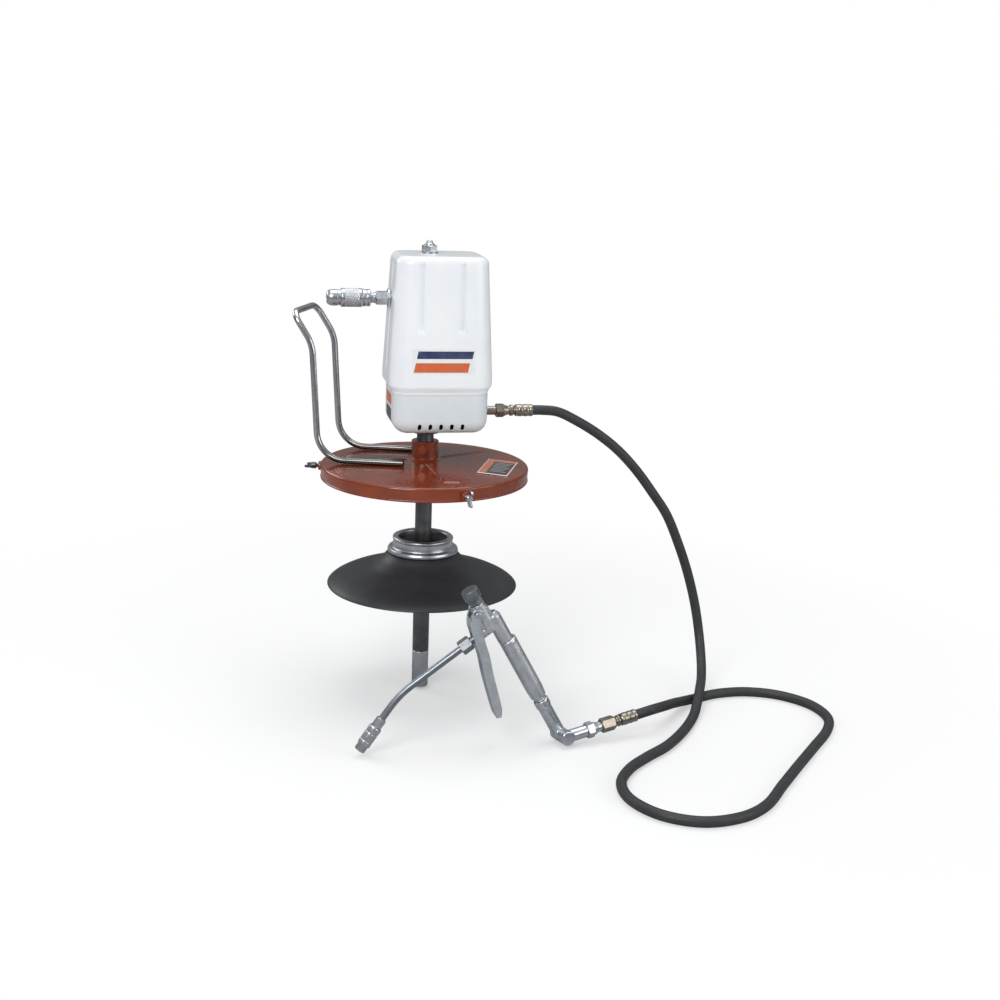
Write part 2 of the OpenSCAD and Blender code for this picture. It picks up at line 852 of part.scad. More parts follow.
module foot_valve() {
    color("silver") difference() {
        union() {
            translate([0, 0, foot_z]) cylinder(d = tube_d, h = foot_h);
            translate([0, 0, -tube_depth - overrun])
                cylinder(d = foot_socket_d, h = check_z + tube_depth + overrun);
        }
        translate([0, 0, foot_z - overrun])
            cylinder(d = tube_bore, h = check_z - check_seat_h - foot_z + overrun);
        translate([0, 0, foot_z]) cylinder(d = check_bore, h = check_z - foot_z + overrun);
        for (i = [0, 1]) translate([-tube_d, -window_w / 2, window_z - window_h - i * window_pitch])
            cube([2 * tube_d, window_w, window_h]);
    }
}

module inlet_check() {
    color("goldenrod") translate([0, 0, check_z])
        pipe(tube_bore - 2 * side_gap, primer_rod_d + 2 * run_fit, check_h);
}

// Pail cover and what it carries: local -X points to the handle

module lid_frame() {
    rotate([0, 0, lid_turn]) children();
}

function crown_z(r) = lid_top + crown_rise * (crown_r - r) / (crown_r - hub_foot_r);

module lid_shell(rise) {
    turned([
        [hub_foot_r - hub_d / 4, hub_z + rise - lid_sheet], [hub_foot_r, hub_z + rise - lid_sheet],
        [crown_r, gasket_h + rise], [lid_r - lid_sheet, gasket_h + rise],
        [lid_r - lid_sheet, lid_top - lid_edge + rise], [lid_r, lid_top - lid_edge + rise],
        [lid_r - lid_edge_cut, lid_top - lid_edge_cut + rise],
        [lid_r - lid_edge, lid_top + rise], [crown_r, lid_top + rise],
        [hub_foot_r, hub_z + rise], [hub_foot_r - hub_d / 4, hub_z + rise]]);
}

module lid_ribs() {
    for (turn = screw_turns) rotate([0, 0, turn]) intersection() {
        lid_shell(rib_rise);
        linear_extrude(height = hub_top)
            polygon([[rib_in_r, -rib_in_w / 2], [rib_out_r, -rib_out_w / 2],
                [rib_out_r + rib_in_w / 2, 0], [rib_out_r, rib_out_w / 2], [rib_in_r, rib_in_w / 2]]);
    }
}

module pail_cover() {
    color("orangered") lid_frame() difference() {
        union() {
            lid_shell(0);
            lid_ribs();
            translate([0, 0, lid_top - skirt_h]) pipe(lid_d, lid_d - 2 * lid_sheet, skirt_h - lid_edge / 2);
            translate([0, 0, lid_top - skirt_h]) rotate_extrude()
                translate([lid_r - bead_r, 0]) circle(r = bead_r);
            translate([0, 0, gasket_h]) cylinder(d = hub_d, h = hub_top - gasket_h);
            turned([[hub_d / 2 - lid_sheet, hub_z - lid_sheet], [hub_foot_r, hub_z - lid_sheet],
                [hub_foot_r, hub_z], [hub_d / 2 + lid_sheet, hub_z + hub_fillet],
                [hub_d / 2 - lid_sheet, hub_z + hub_fillet + lid_sheet]]);
        }
        translate([0, 0, -overrun]) cylinder(d = tube_d + 2 * run_fit, h = hub_top + 2 * overrun);
        for (turn = screw_turns) rotate([0, 0, turn]) translate([rim_r, 0, screw_z]) rotate([0, 90, 0])
            cylinder(d = screw_d + 2 * run_fit, h = lid_r - rim_r + overrun);
        translate([0, 0, hub_screw_z]) rotate([90, 0, 0]) cylinder(d = hub_screw_d, h = hub_d);
    }
}

module cover_gasket() {
    color("black") pipe(2 * rim_r + gasket_w, 2 * rim_r - gasket_w, gasket_h);
}

module weld_nuts() {
    color("silver") lid_frame() for (turn = screw_turns) rotate([0, 0, turn])
        translate([lid_r, 0, screw_z]) rotate([0, 90, 0])
            pipe(weld_nut_d, screw_d + 2 * run_fit, weld_nut_t);
}

module thumbscrew(turn, wing_turn) {
    wing_x = lid_r - screw_in + screw_l;
    lid_frame() rotate([0, 0, turn]) {
        translate([lid_r - screw_in, 0, screw_z]) rotate([0, 90, 0]) cylinder(d = screw_d, h = screw_l);
        translate([wing_x - wing_hub_l, 0, screw_z]) rotate([0, 90, 0])
            cylinder(d = wing_hub_d, h = wing_hub_l);
        translate([wing_x - wing_hub_l / 2, 0, screw_z]) rotate([wing_turn, 0, 0])
            translate([0, wing_t / 2, 0]) rotate([90, 0, 0]) linear_extrude(height = wing_t)
                for (side = [-1, 1]) polygon([[0, side * wing_hub_d / 4], [-wing_hub_l / 2, side * wing_hub_d / 4],
                    [0, side * wing_span / 2], [wing_shoulder_h, side * wing_span / 2],
                    [wing_h, side * wing_span / 3], [wing_hub_l / 2, side * wing_hub_d / 4]]);
    }
}

module thumbscrew_left() {
    color("dimgray") thumbscrew(screw_turns[0], wing_turns[0]);
}

module thumbscrew_front() {
    color("silver") thumbscrew(screw_turns[1], wing_turns[1]);
}

module thumbscrew_back() {
    color("silver") thumbscrew(screw_turns[2], wing_turns[2]);
}

module hub_screw() {
    color("dimgray") lid_frame() translate([0, 0, hub_screw_z]) rotate([90, 0, 0]) {
        translate([0, 0, tube_d / 2]) cylinder(d = hub_screw_d, h = hub_screw_l);
        translate([0, 0, tube_d / 2 + hub_screw_l]) cylinder(d = hub_screw_head_d, h = hub_screw_head_l);
    }
}

module cover_label() {
    slope = atan(crown_rise / (crown_r - hub_foot_r));
    color("darkorange") lid_frame() rotate([0, 0, plate_turn])
        translate([plate_r, 0, crown_z(plate_r)]) rotate([0, slope, 0])
        translate([-plate_w / 2, -plate_l / 2, free_gap]) cube([plate_w, plate_l, plate_t]);
}

// Points along a line whose corners are rounded with the given radii
function turn_at(points, i) = acos(unit(points[i] - points[i - 1]) * unit(points[i + 1] - points[i]));

function corner_points(points, i, radius) =
    let (before = unit(points[i] - points[i - 1]), after = unit(points[i + 1] - points[i]),
        turn = turn_at(points, i),
        middle = points[i] + unit(after - before) * radius / cos(turn / 2),
        outwards = unit(points[i] - radius * tan(turn / 2) * before - middle))
    [for (k = [0:bend_steps]) middle + radius * (cos(k * turn / bend_steps) * outwards
        + sin(k * turn / bend_steps) * before)];

function rounded_path(points, radii) = concat(
    [points[0]],
    [for (i = [1:len(points) - 2]) each corner_points(points, i, radii[i])],
    [points[len(points) - 1]]);

module bail_handle() {
    rise = bail_rod / 2 + bail_seat;
    arm_z = crown_z(bail_half) + rise;
    foot_z_bail = crown_z(crown_r) + rise;
    points = [
        [-bail_start, -bail_half, arm_z],
        [-bail_foot_x, -bail_half, foot_z_bail],
        [-bail_knee_x, -bail_half, bail_knee_z],
        [-bail_reach, -bail_half, bail_top],
        [-bail_reach, bail_half, bail_top],
        [-bail_knee_x, bail_half, bail_knee_z],
        [-bail_foot_x, bail_half, foot_z_bail],
        [-bail_start, bail_half, arm_z]];
    radii = [0, bail_bend, bail_knee, bail_corner, bail_corner, bail_knee, bail_bend, 0];
    color("silver") lid_frame() rotate([0, 0, bail_turn])
        swept_tube(rounded_path(points, radii), [0, 0, 1], bail_rod, rod_sides);
}

// Follower

function bell_outline() = [for (i = [0:len(bell_radii) - 1])
    [bell_radii[i], bell_top - bell_drop_shares[i] * (bell_h - lip_h)]];

module follower_bell() {
    outer = bell_outline();
    inner = [for (i = [len(outer) - 1:-1:0])
        outer[i] - [bell_wall * (i == len(outer) - 1 ? 1 : bell_inner_share), bell_wall]];
    color("black") turned(concat(
        [[collar_r - collar_wall, bell_top]], outer, [[follower_r, follower_z]],
        [[follower_r - bell_wall, follower_z]], inner, [[collar_r - collar_wall, bell_top - bell_wall]]));
}

module follower_collar() {
    bore_r = collar_r - collar_wall;
    color("lightgray") turned([
        [bore_r, bell_top], [collar_flange_r, bell_top],
        [collar_flange_r, bell_top + collar_flange_h - overrun],
        [collar_flange_r - overrun, bell_top + collar_flange_h], [collar_r, bell_top + collar_flange_h],
        [collar_r - collar_groove, collar_top - 2 * collar_bead], [collar_r, collar_top - collar_bead_low],
        [collar_r, collar_top - collar_bead_high], [collar_r - collar_bead, collar_top],
        [bore_r + collar_bead / 2, collar_top], [bore_r, collar_top - collar_bead / 2]]);
}

module tube_wiper() {
    inner_r = tube_d / 2 + run_fit;
    outer_r = collar_r - collar_wall;
    color("black") turned([
        [inner_r, bell_top - wiper_drop + wiper_t], [inner_r, bell_top - wiper_drop],
        [inner_r + wiper_t, bell_top - wiper_drop], [outer_r, bell_top - bell_wall],
        [outer_r, bell_top + wiper_t - bell_wall], [inner_r + wiper_t, bell_top - wiper_drop + wiper_t]]);
}

// Hose and its end fittings

module outlet_place() {
    translate([0, 0, outlet_z]) rotate([0, 90, 0]) children();
}

module outlet_adapter() {
    neck_in = outlet_arm_end - spigot_l;
    color("silver") outlet_place() difference() {
        translate([0, 0, neck_in]) cylinder(d = outlet_neck_d, h = outlet_hex_x - neck_in);
        translate([0, 0, neck_in - overrun]) cylinder(d = grease_bore, h = outlet_hex_x);
    }
}

module crimp_fitting(hex_start, hex_length, cone_length, bead_length, ferrule_length) {
    cone_z = hex_start + hex_length;
    bead_z = cone_z + cone_length;
    ferrule_z = bead_z + bead_length;
    difference() {
        union() {
            translate([0, 0, hex_start]) hex(outlet_hex_af, hex_length);
            turned([[0, cone_z - overrun], [outlet_hex_af / 2, cone_z - overrun],
                [outlet_hex_af / 2, cone_z],
                [stem_d / 2, bead_z], [0, bead_z]]);
            translate([0, 0, bead_z]) cylinder(d = outlet_bead_d, h = bead_length * bead_share);
            translate([0, 0, bead_z]) cylinder(d = stem_d, h = bead_length);
            translate([0, 0, ferrule_z]) cylinder(d = ferrule_d, h = ferrule_length);
        }
        translate([0, 0, hex_start - overrun])
            cylinder(d = hose_bore, h = ferrule_z + ferrule_length - hex_start + 2 * overrun);
    }
}

module pump_hose_end() {
    color("darkkhaki") outlet_place()
        crimp_fitting(outlet_hex_x, outlet_hex_l, outlet_cone_l, outlet_bead_l, ferrule_l);
}

// Smooth points through the route
function spline(a, b, c, d, t) =
    ((2 * b) + (c - a) * t + (2 * a - 5 * b + 4 * c - d) * t * t + (3 * b - a - 3 * c + d) * t * t * t) / 2;

function smooth(points, steps) = [
    for (i = [0:len(points) - 2], k = [0:steps - 1])
        spline(points[max(i - 1, 0)], points[i], points[i + 1],
            points[min(i + 2, len(points) - 1)], k / steps),
    points[len(points) - 1]];

function route_dir(path, i) = unit(path[min(i + 1, len(path) - 1)] - path[max(i - 1, 0)]);

// The side of each ring turns with the path, so that the tube doesn't twist
function carried_side(path, i, side) = unit(side - (side * route_dir(path, i)) * route_dir(path, i));

function sides_along(path, i, side) =
    i == len(path) ? [] : let (now = carried_side(path, i, side))
        concat([now], sides_along(path, i + 1, now));

module swept_tube(path, side, d, sides) {
    n = len(path);
    ring_sides = sides_along(path, 0, side);
    rings = [for (i = [0:n - 1]) let (u = ring_sides[i], v = cross(route_dir(path, i), u))
        for (k = [0:sides - 1]) path[i] + d / 2 * (cos(360 * k / sides) * u + sin(360 * k / sides) * v)];
    walls = [for (i = [0:n - 2], k = [0:sides - 1]) let (next = (k + 1) % sides)
        [i * sides + k, (i + 1) * sides + k, (i + 1) * sides + next, i * sides + next]];
    triangles = [for (w = walls) each [[w[0], w[1], w[2]], [w[0], w[2], w[3]]]];
    ends = [[for (k = [0:sides - 1]) k], [for (k = [sides - 1:-1:0]) (n - 1) * sides + k]];
    polyhedron(points = rings, faces = concat(triangles, ends));
}

module hose() {
    color("black") swept_tube(smooth(route, hose_steps), [0, 0, 1], hose_d, hose_sides);
}

module hose_axis_place() {
    facing(hose_joint, hose_dir, [0, 0, 1]) children();
}

module valve_hose_end() {
    color("darkkhaki") hose_axis_place() difference() {
        crimp_fitting(hex_reach, hex_l, gun_bead_l / 2, gun_bead_l / 2, gun_ferrule_l);
        translate([0, 0, hex_reach - overrun]) cylinder(d = pivot_d + 2 * run_fit, h = spigot_l + overrun);
    }
}

// Swivel: local Z along the cross axis, local X along the hose

module swivel_place() {
    facing(swivel_at, cross_dir, hose_dir) children();
}

module hose_side_elbow() {
    color("silver") difference() {
        union() {
            swivel_place() translate([0, 0, swivel_offset - eye_l / 2]) cylinder(d = eye_d, h = eye_l);
            hose_axis_place() {
                cylinder(d = back_arm_d, h = back_arm_l);
                translate([0, 0, back_arm_l]) hex(back_ring_af, back_ring_l);
                translate([0, 0, back_arm_l + back_ring_l])
                    cylinder(d1 = back_ring_af, d2 = neck_d, h = hex_reach - back_arm_l - back_ring_l);
                cylinder(d = pivot_d, h = hex_reach + spigot_l - side_gap);
            }
        }
        swivel_place() translate([0, 0, swivel_offset - eye_l / 2 - overrun])
            cylinder(d = pivot_d + 2 * run_fit, h = eye_l - ring_nut_t + overrun);
        swivel_place() translate([0, 0, swivel_offset + eye_l / 2 - ring_nut_t - overrun])
            cylinder(d = pivot_d + ring_nut_t, h = ring_nut_t + 2 * overrun);
    }
}

module grip_side_elbow() {
    pivot_reach = swivel_offset + eye_l / 2 - side_gap;
    color("silver") {
        swivel_place() {
            translate([0, 0, -eye_l / 2]) cylinder(d = eye_d, h = swivel_offset - free_gap);
            cylinder(d = pivot_d, h = pivot_reach);
        }
        gun_frame() {
            cylinder(d = arm_d, h = arm_l);
            translate([0, 0, arm_l]) cylinder(d1 = arm_d, d2 = arm_collar_d, h = arm_collar_l / 4);
            translate([0, 0, arm_l + arm_collar_l / 4]) cylinder(d = arm_collar_d, h = arm_collar_l);
            translate([0, 0, arm_l]) cylinder(d = neck_d, h = neck_l - arm_l - free_gap);
            translate([0, 0, arm_l]) cylinder(d = pivot_d, h = neck_l + spigot_l - side_gap - arm_l);
        }
    }
}

module swivel_nut() {
    color("gray") swivel_place() translate([0, 0, swivel_offset + eye_l / 2 - ring_nut_t + side_gap])
        pipe(pivot_d + ring_nut_t - 2 * side_gap, pivot_d, ring_nut_t - 2 * side_gap);
}

// Control valve, in the frame of the grip

module gun_frame() {
    translate(swivel_at) rotate([0, -grip_lean, gun_heading]) children();
}

module grip_tube() {
    color("slategray") gun_frame() difference() {
        turned([[0, grip_z], [grip_low_d / 2 - grip_line, grip_z], [grip_low_d / 2, grip_z + grip_line],
            [grip_d / 2, grip_z + grip_low_d], [grip_d / 2, grip_top - grip_line],
            [grip_d / 2 - grip_line, grip_top], [0, grip_top]]);
        translate([0, 0, grip_z - overrun]) cylinder(d = grip_bore, h = grip_l + 2 * overrun);
        translate([0, 0, grip_z - overrun]) cylinder(d = pivot_d + 2 * run_fit, h = spigot_l + overrun);
    }
}

// Children are drawn in the plane of the lever: their Z becomes the depth of the valve
module side_plate(t) {
    rotate([90, 0, 0]) translate([0, 0, -t / 2]) linear_extrude(height = t) children();
}

module valve_body() {
    color("lightslategray") gun_frame() difference() {
        union() {
            translate([casting_x, 0, grip_top]) turned([
                [0, 0], [casting_d / 2, 0], [casting_d / 2, casting_h],
                [casting_top_d / 2, casting_h + casting_top_d / 2],
                [0, casting_h + casting_top_d / 2]]);
            translate([barrel_x, 0, barrel_z]) cylinder(d = barrel_d, h = barrel_top - barrel_z);
            side_plate(body_t) polygon([[block_left, block_z], [block_right, block_z],
                [block_right, block_top - lug_r], [block_right - lug_r, block_top], [lug_at[0], block_top],
                [block_left, block_top - lug_r / 2]]);
            outlet_axis() cylinder(d = boss_d, h = boss_l);
        }
        translate([barrel_x, 0, chamber_z]) cylinder(d = chamber_d, h = chamber_h);
        translate([barrel_x, 0, stem_z - lug_r])
            cylinder(d = stem_bore_d, h = chamber_z - stem_z + lug_r + overrun);
        translate([0, 0, grip_top - overrun]) cylinder(d = grip_bore, h = casting_h / 2);
        translate([0, 0, grip_top + casting_h / 2 - grip_bore]) rotate([0, -drill_lean, 0])
            cylinder(d = drill_d, h = chamber_z - grip_top - casting_h / 2 + grip_bore + overrun);
        outlet_axis() translate([0, 0, -grip_bore])
            cylinder(d = pipe_bore, h = boss_l + grip_bore + overrun);
        side_plate(tongue_t + 2 * lever_gap) polygon([
            [block_left - lug_r, lug_at[1] - tongue_reach],
            [lug_at[0] + tongue_reach + overrun, lug_at[1] - tongue_reach],
            [lug_at[0] + tongue_reach + overrun, stem_z + lug_r / 2],
            [block_left - lug_r, stem_z + lug_r / 2]]);
        translate([lug_at[0], 0, lug_at[1]]) rotate([90, 0, 0]) translate([0, 0, -barrel_d])
            cylinder(d = lever_pin_d, h = 2 * barrel_d);
    }
}

module valve_cap() {
    color("darkslategray") gun_frame() translate([barrel_x, 0, barrel_top]) difference() {
        union() {
            hex(cap_af, cap_low_h);
            translate([0, 0, cap_low_h]) cylinder(d = cap_d, h = cap_h - cap_low_h - grip_line);
            translate([0, 0, cap_low_h]) cylinder(d = cap_d - 2 * grip_line, h = cap_h - cap_low_h);
        }
        translate([0, 0, -overrun])
            cylinder(d = chamber_d, h = chamber_z + chamber_h - barrel_top + overrun);
    }
}

module valve_stem() {
    color("silver") gun_frame() translate([barrel_x, 0, stem_z]) {
        cylinder(d = stem_bore_d - 2 * run_fit, h = chamber_z - stem_z + stem_head_h);
        translate([0, 0, chamber_z - stem_z + side_gap]) cylinder(d = stem_head_d, h = stem_head_h);
    }
}

module stem_spring() {
    spring_low = chamber_z + side_gap + stem_head_h + stem_travel + free_gap + spring_wire / 2;
    rise = chamber_z + chamber_h - spring_low - free_gap - spring_wire / 2;
    steps = spring_turns * rod_sides;
    coil = [for (k = [0:steps]) let (turn = 360 * k / rod_sides)
        [spring_d / 2 * cos(turn), spring_d / 2 * sin(turn), rise * k / steps]];
    color("gray") gun_frame() translate([barrel_x, 0, spring_low])
        swept_tube(coil, [0, 0, 1], spring_wire, wire_sides);
}

// Outline of the lever: the half width changes along its middle line
function lever_normal(i) =
    let (last = len(lever_path) - 1, along = unit(lever_path[min(i + 1, last)] - lever_path[max(i - 1, 0)]))
        [-along[1], along[0]];

function lever_edge(i, inset) = lever_path[i] - lever_normal(i) * (lever_w * lever_half_shares[i] - inset);

function lever_outline() =
    let (last = len(lever_path) - 1)
    concat([for (i = [0:last]) lever_path[i] + lever_normal(i) * lever_w * lever_half_shares[i]],
        [for (i = [last:-1:0]) lever_edge(i, 0)]);

// A web that joins the cheeks along the lever's outer edge
function web_outline(ends) = concat([for (i = [ends[0]:ends[1]]) lever_edge(i, web_inset)],
    [for (i = [ends[1]:-1:ends[0]]) lever_edge(i, web_t)]);

module trigger_lever() {
    cheek_y = barrel_d / 2 + lever_gap;
    color("lightgray") gun_frame() translate([lug_at[0], 0, lug_at[1]]) difference() {
        union() {
            for (side = [-1, 1]) translate([0, side * (cheek_y + lever_t / 2), 0]) {
                side_plate(lever_t) polygon(lever_outline());
                side_plate(lever_t) circle(r = lever_eye_r);
            }
            side_plate(2 * cheek_y + lever_t) polygon(web_outline(upper_web));
            side_plate(2 * cheek_y + lever_t) polygon(web_outline(lower_web));
            side_plate(tongue_t) polygon(concat(
                [for (i = [upper_web[0]:upper_web[1]]) lever_edge(i, web_t / 2)],
                [[0, -lug_r / 2], [tongue_reach, 0], [tongue_reach, tongue_rise], [0, tongue_rise]]));
        }
        rotate([90, 0, 0]) translate([0, 0, -barrel_d])
            cylinder(d = lever_pin_d + 2 * run_fit, h = 2 * barrel_d);
    }
}

module lever_pin() {
    reach = barrel_d / 2 + lever_gap + lever_t + free_gap;
    color("silver") gun_frame() translate([lug_at[0], 0, lug_at[1]]) rotate([90, 0, 0]) {
        translate([0, 0, -reach]) cylinder(d = lever_pin_d, h = 2 * reach);
        for (side = [-1, 1]) translate([0, 0, side * (reach + pin_head_t / 2) - pin_head_t / 2])
            cylinder(d = pin_head_d, h = pin_head_t);
    }
}

// Local Z runs out along the outlet
module outlet_axis() {
    translate([outlet_at[0], 0, outlet_at[1]]) rotate([0, -90 - outlet_tilt, 0]) children();
}

module gun_nut() {
    color("gray") gun_frame() outlet_axis() difference() {
        union() {
            translate([0, 0, boss_l]) cylinder(d = outlet_stub_d, h = gun_nut_start - boss_l);
            translate([0, 0, gun_nut_start]) hex(gun_nut_af, gun_nut_l);
        }
        translate([0, 0, boss_l - overrun]) cylinder(d = pipe_bore, h = gun_nut_start + gun_nut_l);
        translate([0, 0, pipe_start]) cylinder(d = pipe_d, h = gun_nut_l);
    }
}

// Local Z runs along the last straight part of the pipe, from the end of the bend
module tip_place() {
    outlet_axis() translate([-pipe_bend_r, 0, pipe_start + pipe_l])
        rotate([0, -pipe_bend, 0]) translate([pipe_bend_r, 0, 0]) children();
}

function pipe_line(extra) =
    let (corner = pipe_start + pipe_l + pipe_bend_r * tan(pipe_bend / 2),
        last = pipe_bend_r * tan(pipe_bend / 2) + tip_neck_l + extra)
    rounded_path([[0, 0, pipe_start - extra], [0, 0, corner],
        [-last * sin(pipe_bend), 0, corner + last * cos(pipe_bend)]], [0, pipe_bend_r, 0]);

module extension_pipe() {
    color("silver") gun_frame() outlet_axis() difference() {
        swept_tube(pipe_line(0), [0, 1, 0], pipe_d, rod_sides);
        swept_tube(pipe_line(overrun), [0, 1, 0], pipe_bore, rod_sides);
    }
}

module tip_nut() {
    color("silver") gun_frame() tip_place() translate([0, 0, tip_neck_l]) difference() {
        hex(tip_nut_af, tip_nut_l);
        translate([0, 0, -overrun]) cylinder(d = pipe_bore, h = tip_nut_l + 2 * overrun);
    }
}

module grease_coupler() {
    start = tip_neck_l + tip_nut_l;
    body_l = tip_l - tip_nut_l;
    color("lightsteelblue") gun_frame() tip_place() translate([0, 0, start]) difference() {
        turned([[0, 0], [tip_d / 2 - jaw_t, 0], [tip_d / 2, jaw_t], [tip_d / 2, body_l - tip_nose_l],
            [tip_nose_d / 2, body_l - tip_nose_l + jaw_t], [tip_nose_d / 2, body_l - jaw_t],
            [tip_nose_d / 2 - jaw_t, body_l], [0, body_l]]);
        translate([0, 0, -overrun]) cylinder(d = pipe_bore, h = body_l + 2 * overrun);
        translate([0, 0, body_l - tip_bore_l])
            cylinder(d = tip_bore_d + 2 * jaw_t + 2 * run_fit, h = tip_bore_l + overrun);
    }
}

module coupler_jaws() {
    start = tip_neck_l + tip_l - tip_bore_l + jaw_travel;
    color("dimgray") gun_frame() tip_place() translate([0, 0, start])
        pipe(tip_bore_d + 2 * jaw_t, tip_bore_d, jaw_l);
}

motor_cover();
lower_housing();
centre_stud();
cap_nut();
motor_base();
air_cylinder();
cylinder_head();
valve_chest();
tie_rods();
air_piston();
piston_ring();
piston_rod();
trip_rod();
valve_spool();
exhaust_felt();
inlet_fitting();
air_nipple();
coupler_body();
coupler_sleeve();
outlet_body();
rod_packing();
pump_tube();
plunger();
plunger_ball();
primer_rod();
primer_disc();
foot_valve();
inlet_check();
pail_cover();
cover_gasket();
bail_handle();
weld_nuts();
thumbscrew_left();
thumbscrew_front();
thumbscrew_back();
hub_screw();
cover_label();
follower_bell();
follower_collar();
tube_wiper();
outlet_adapter();
pump_hose_end();
hose();
valve_hose_end();
hose_side_elbow();
grip_side_elbow();
swivel_nut();
grip_tube();
valve_body();
valve_cap();
valve_stem();
stem_spring();
trigger_lever();
lever_pin();
gun_nut();
extension_pipe();
tip_nut();
grease_coupler();
coupler_jaws();
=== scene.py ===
# %% [markdown]
# # An air-operated grease pump
# The real object is a pump for a pail of grease: an air motor under a white painted cover,
# a pump tube, an orange pail cover with its handle, a follower plate, a hose and a control
# valve. The measured solids come in as a fixed frame. This lesson dresses each of them
# with a finer surface and with finishes that are worked out from noise, not from pictures.

# %% Load the frame
import math

import bmesh
import bpy
import numpy as np
from mathutils import Matrix


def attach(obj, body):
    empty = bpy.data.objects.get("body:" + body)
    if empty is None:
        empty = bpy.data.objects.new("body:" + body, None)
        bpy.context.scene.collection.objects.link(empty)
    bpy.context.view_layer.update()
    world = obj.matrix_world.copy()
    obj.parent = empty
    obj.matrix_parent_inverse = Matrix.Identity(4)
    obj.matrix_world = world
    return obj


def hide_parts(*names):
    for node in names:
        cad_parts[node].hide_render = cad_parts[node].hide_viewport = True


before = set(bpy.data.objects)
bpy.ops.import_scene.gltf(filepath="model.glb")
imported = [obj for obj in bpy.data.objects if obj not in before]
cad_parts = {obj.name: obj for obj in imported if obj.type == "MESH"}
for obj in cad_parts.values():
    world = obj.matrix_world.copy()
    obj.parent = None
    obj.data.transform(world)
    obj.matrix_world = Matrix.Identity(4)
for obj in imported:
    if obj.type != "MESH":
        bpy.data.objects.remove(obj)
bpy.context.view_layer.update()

MM = 0.001
print("solids in the frame:", len(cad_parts))

# %% [markdown]
# ## The camera
# The picture was taken a little from the left and from above, with a slight roll.
# A camera is easiest to set by its three axes: right, up and back. They are the columns
# of its turn, so no angle has to be tried out by hand.

# %% Camera
VIEW = {"azimuth": -12.0, "pitch": 14.47, "roll": 2.06, "eye": (-347.7, -2195.9, 523.2), "lens": 54.0}


def unit(v):
    """The vector divided by its length."""
    v = np.asarray(v, float)
    return v / np.linalg.norm(v)


def camera_axes(azimuth, pitch, roll):
    """back = (sin a cos e, -cos a cos e, sin e); right is level, then both turn by the roll."""
    a, e, r = np.radians([azimuth, pitch, roll])
    back = np.array([math.sin(a) * math.cos(e), -math.cos(a) * math.cos(e), math.sin(e)])
    level = unit(np.cross(-back, [0, 0, 1]))
    top = np.cross(level, -back)
    right = math.cos(r) * level + math.sin(r) * top
    up = -math.sin(r) * level + math.cos(r) * top
    return right, up, back


camera_data = bpy.data.cameras.new("camera")
camera_data.lens = VIEW["lens"]
camera_data.sensor_width = 36.0
camera = bpy.data.objects.new("camera", camera_data)
bpy.context.collection.objects.link(camera)
turn = np.eye(4)
turn[:3, 0], turn[:3, 1], turn[:3, 2] = camera_axes(VIEW["azimuth"], VIEW["pitch"], VIEW["roll"])
turn[:3, 3] = np.array(VIEW["eye"]) * MM
camera.matrix_world = Matrix(turn.tolist())
bpy.context.scene.camera = camera
bpy.context.scene.view_settings.view_transform = "Standard"
print("camera stands at", np.round(turn[:3, 3], 3))

# %% [markdown]
# ## Places on the object
# Turned pieces are easiest to work out along their own axis. A place is a 4 by 4 matrix
# that carries points from that axis into the object's frame, in millimetres. The same
# few places serve all the pieces of the control valve, which leans and turns.

# %% Places


def shift(x, y, z):
    """Moves points by (x, y, z)."""
    m = np.eye(4)
    m[:3, 3] = (x, y, z)
    return m


def turn_about(axis, degrees):
    """Turns points about one of the frame's axes by the right-hand rule."""
    a = math.radians(degrees)
    c, s = math.cos(a), math.sin(a)
    i, j = {"x": (1, 2), "y": (2, 0), "z": (0, 1)}[axis]
    m = np.eye(4)
    m[i, i] = m[j, j] = c
    m[i, j], m[j, i] = -s, s
    return m


def facing(origin, axis, side):
    """Z runs along the axis, X leans towards the side, Y = Z x side."""
    z = unit(axis)
    y = unit(np.cross(z, side))
    m = np.eye(4)
    m[:3, 0], m[:3, 1], m[:3, 2], m[:3, 3] = np.cross(y, z), y, z, origin
    return m


GRIP_LEAN, GUN_HEADING = 29.3, 3.6
HOSE_HEADING, HOSE_RISE = 15.0, 8.0
SWIVEL = np.array([170.0, -232.0, -347.0])
SWIVEL_OFFSET = 21.0
VALVE_X, PORT_H, PORT_TILT = -13.5, 201.0, 6.5
OUTLET_Z = 85.0
INLET_X, INLET_Z = -58.0, 254.0
LID_TURN = -17.0

gun = shift(*SWIVEL) @ turn_about("z", GUN_HEADING) @ turn_about("y", -GRIP_LEAN)
grip_dir = gun[:3, 2]
heading, rise = math.radians(HOSE_HEADING), math.radians(HOSE_RISE)
hose_dir = np.array([math.cos(rise) * math.cos(heading), math.cos(rise) * math.sin(heading), math.sin(rise)])
cross_dir = unit(np.cross(hose_dir, grip_dir))
swivel = facing(SWIVEL, cross_dir, hose_dir)
hose_joint = SWIVEL + SWIVEL_OFFSET * cross_dir
hose_side = facing(hose_joint, hose_dir, (0, 0, 1))
gun_outlet = gun @ shift(VALVE_X, 0, PORT_H) @ turn_about("y", -90 - PORT_TILT)
pump_outlet = shift(0, 0, OUTLET_Z) @ turn_about("y", 90)
air_inlet = shift(INLET_X, 0, INLET_Z) @ turn_about("y", -90)
lid = turn_about("z", LID_TURN)
print("hose meets the swivel at", np.round(hose_joint, 1))

# %% [markdown]
# ## From numbers to meshes
# A surface is a grid of points: rows along it and columns around it. A few helpers are
# enough for nearly everything here. One joins a grid into faces. One writes such shells
# into a mesh and turns their faces outwards. The last makes a piece of that mesh, gives it
# its finish and hands it to a body.

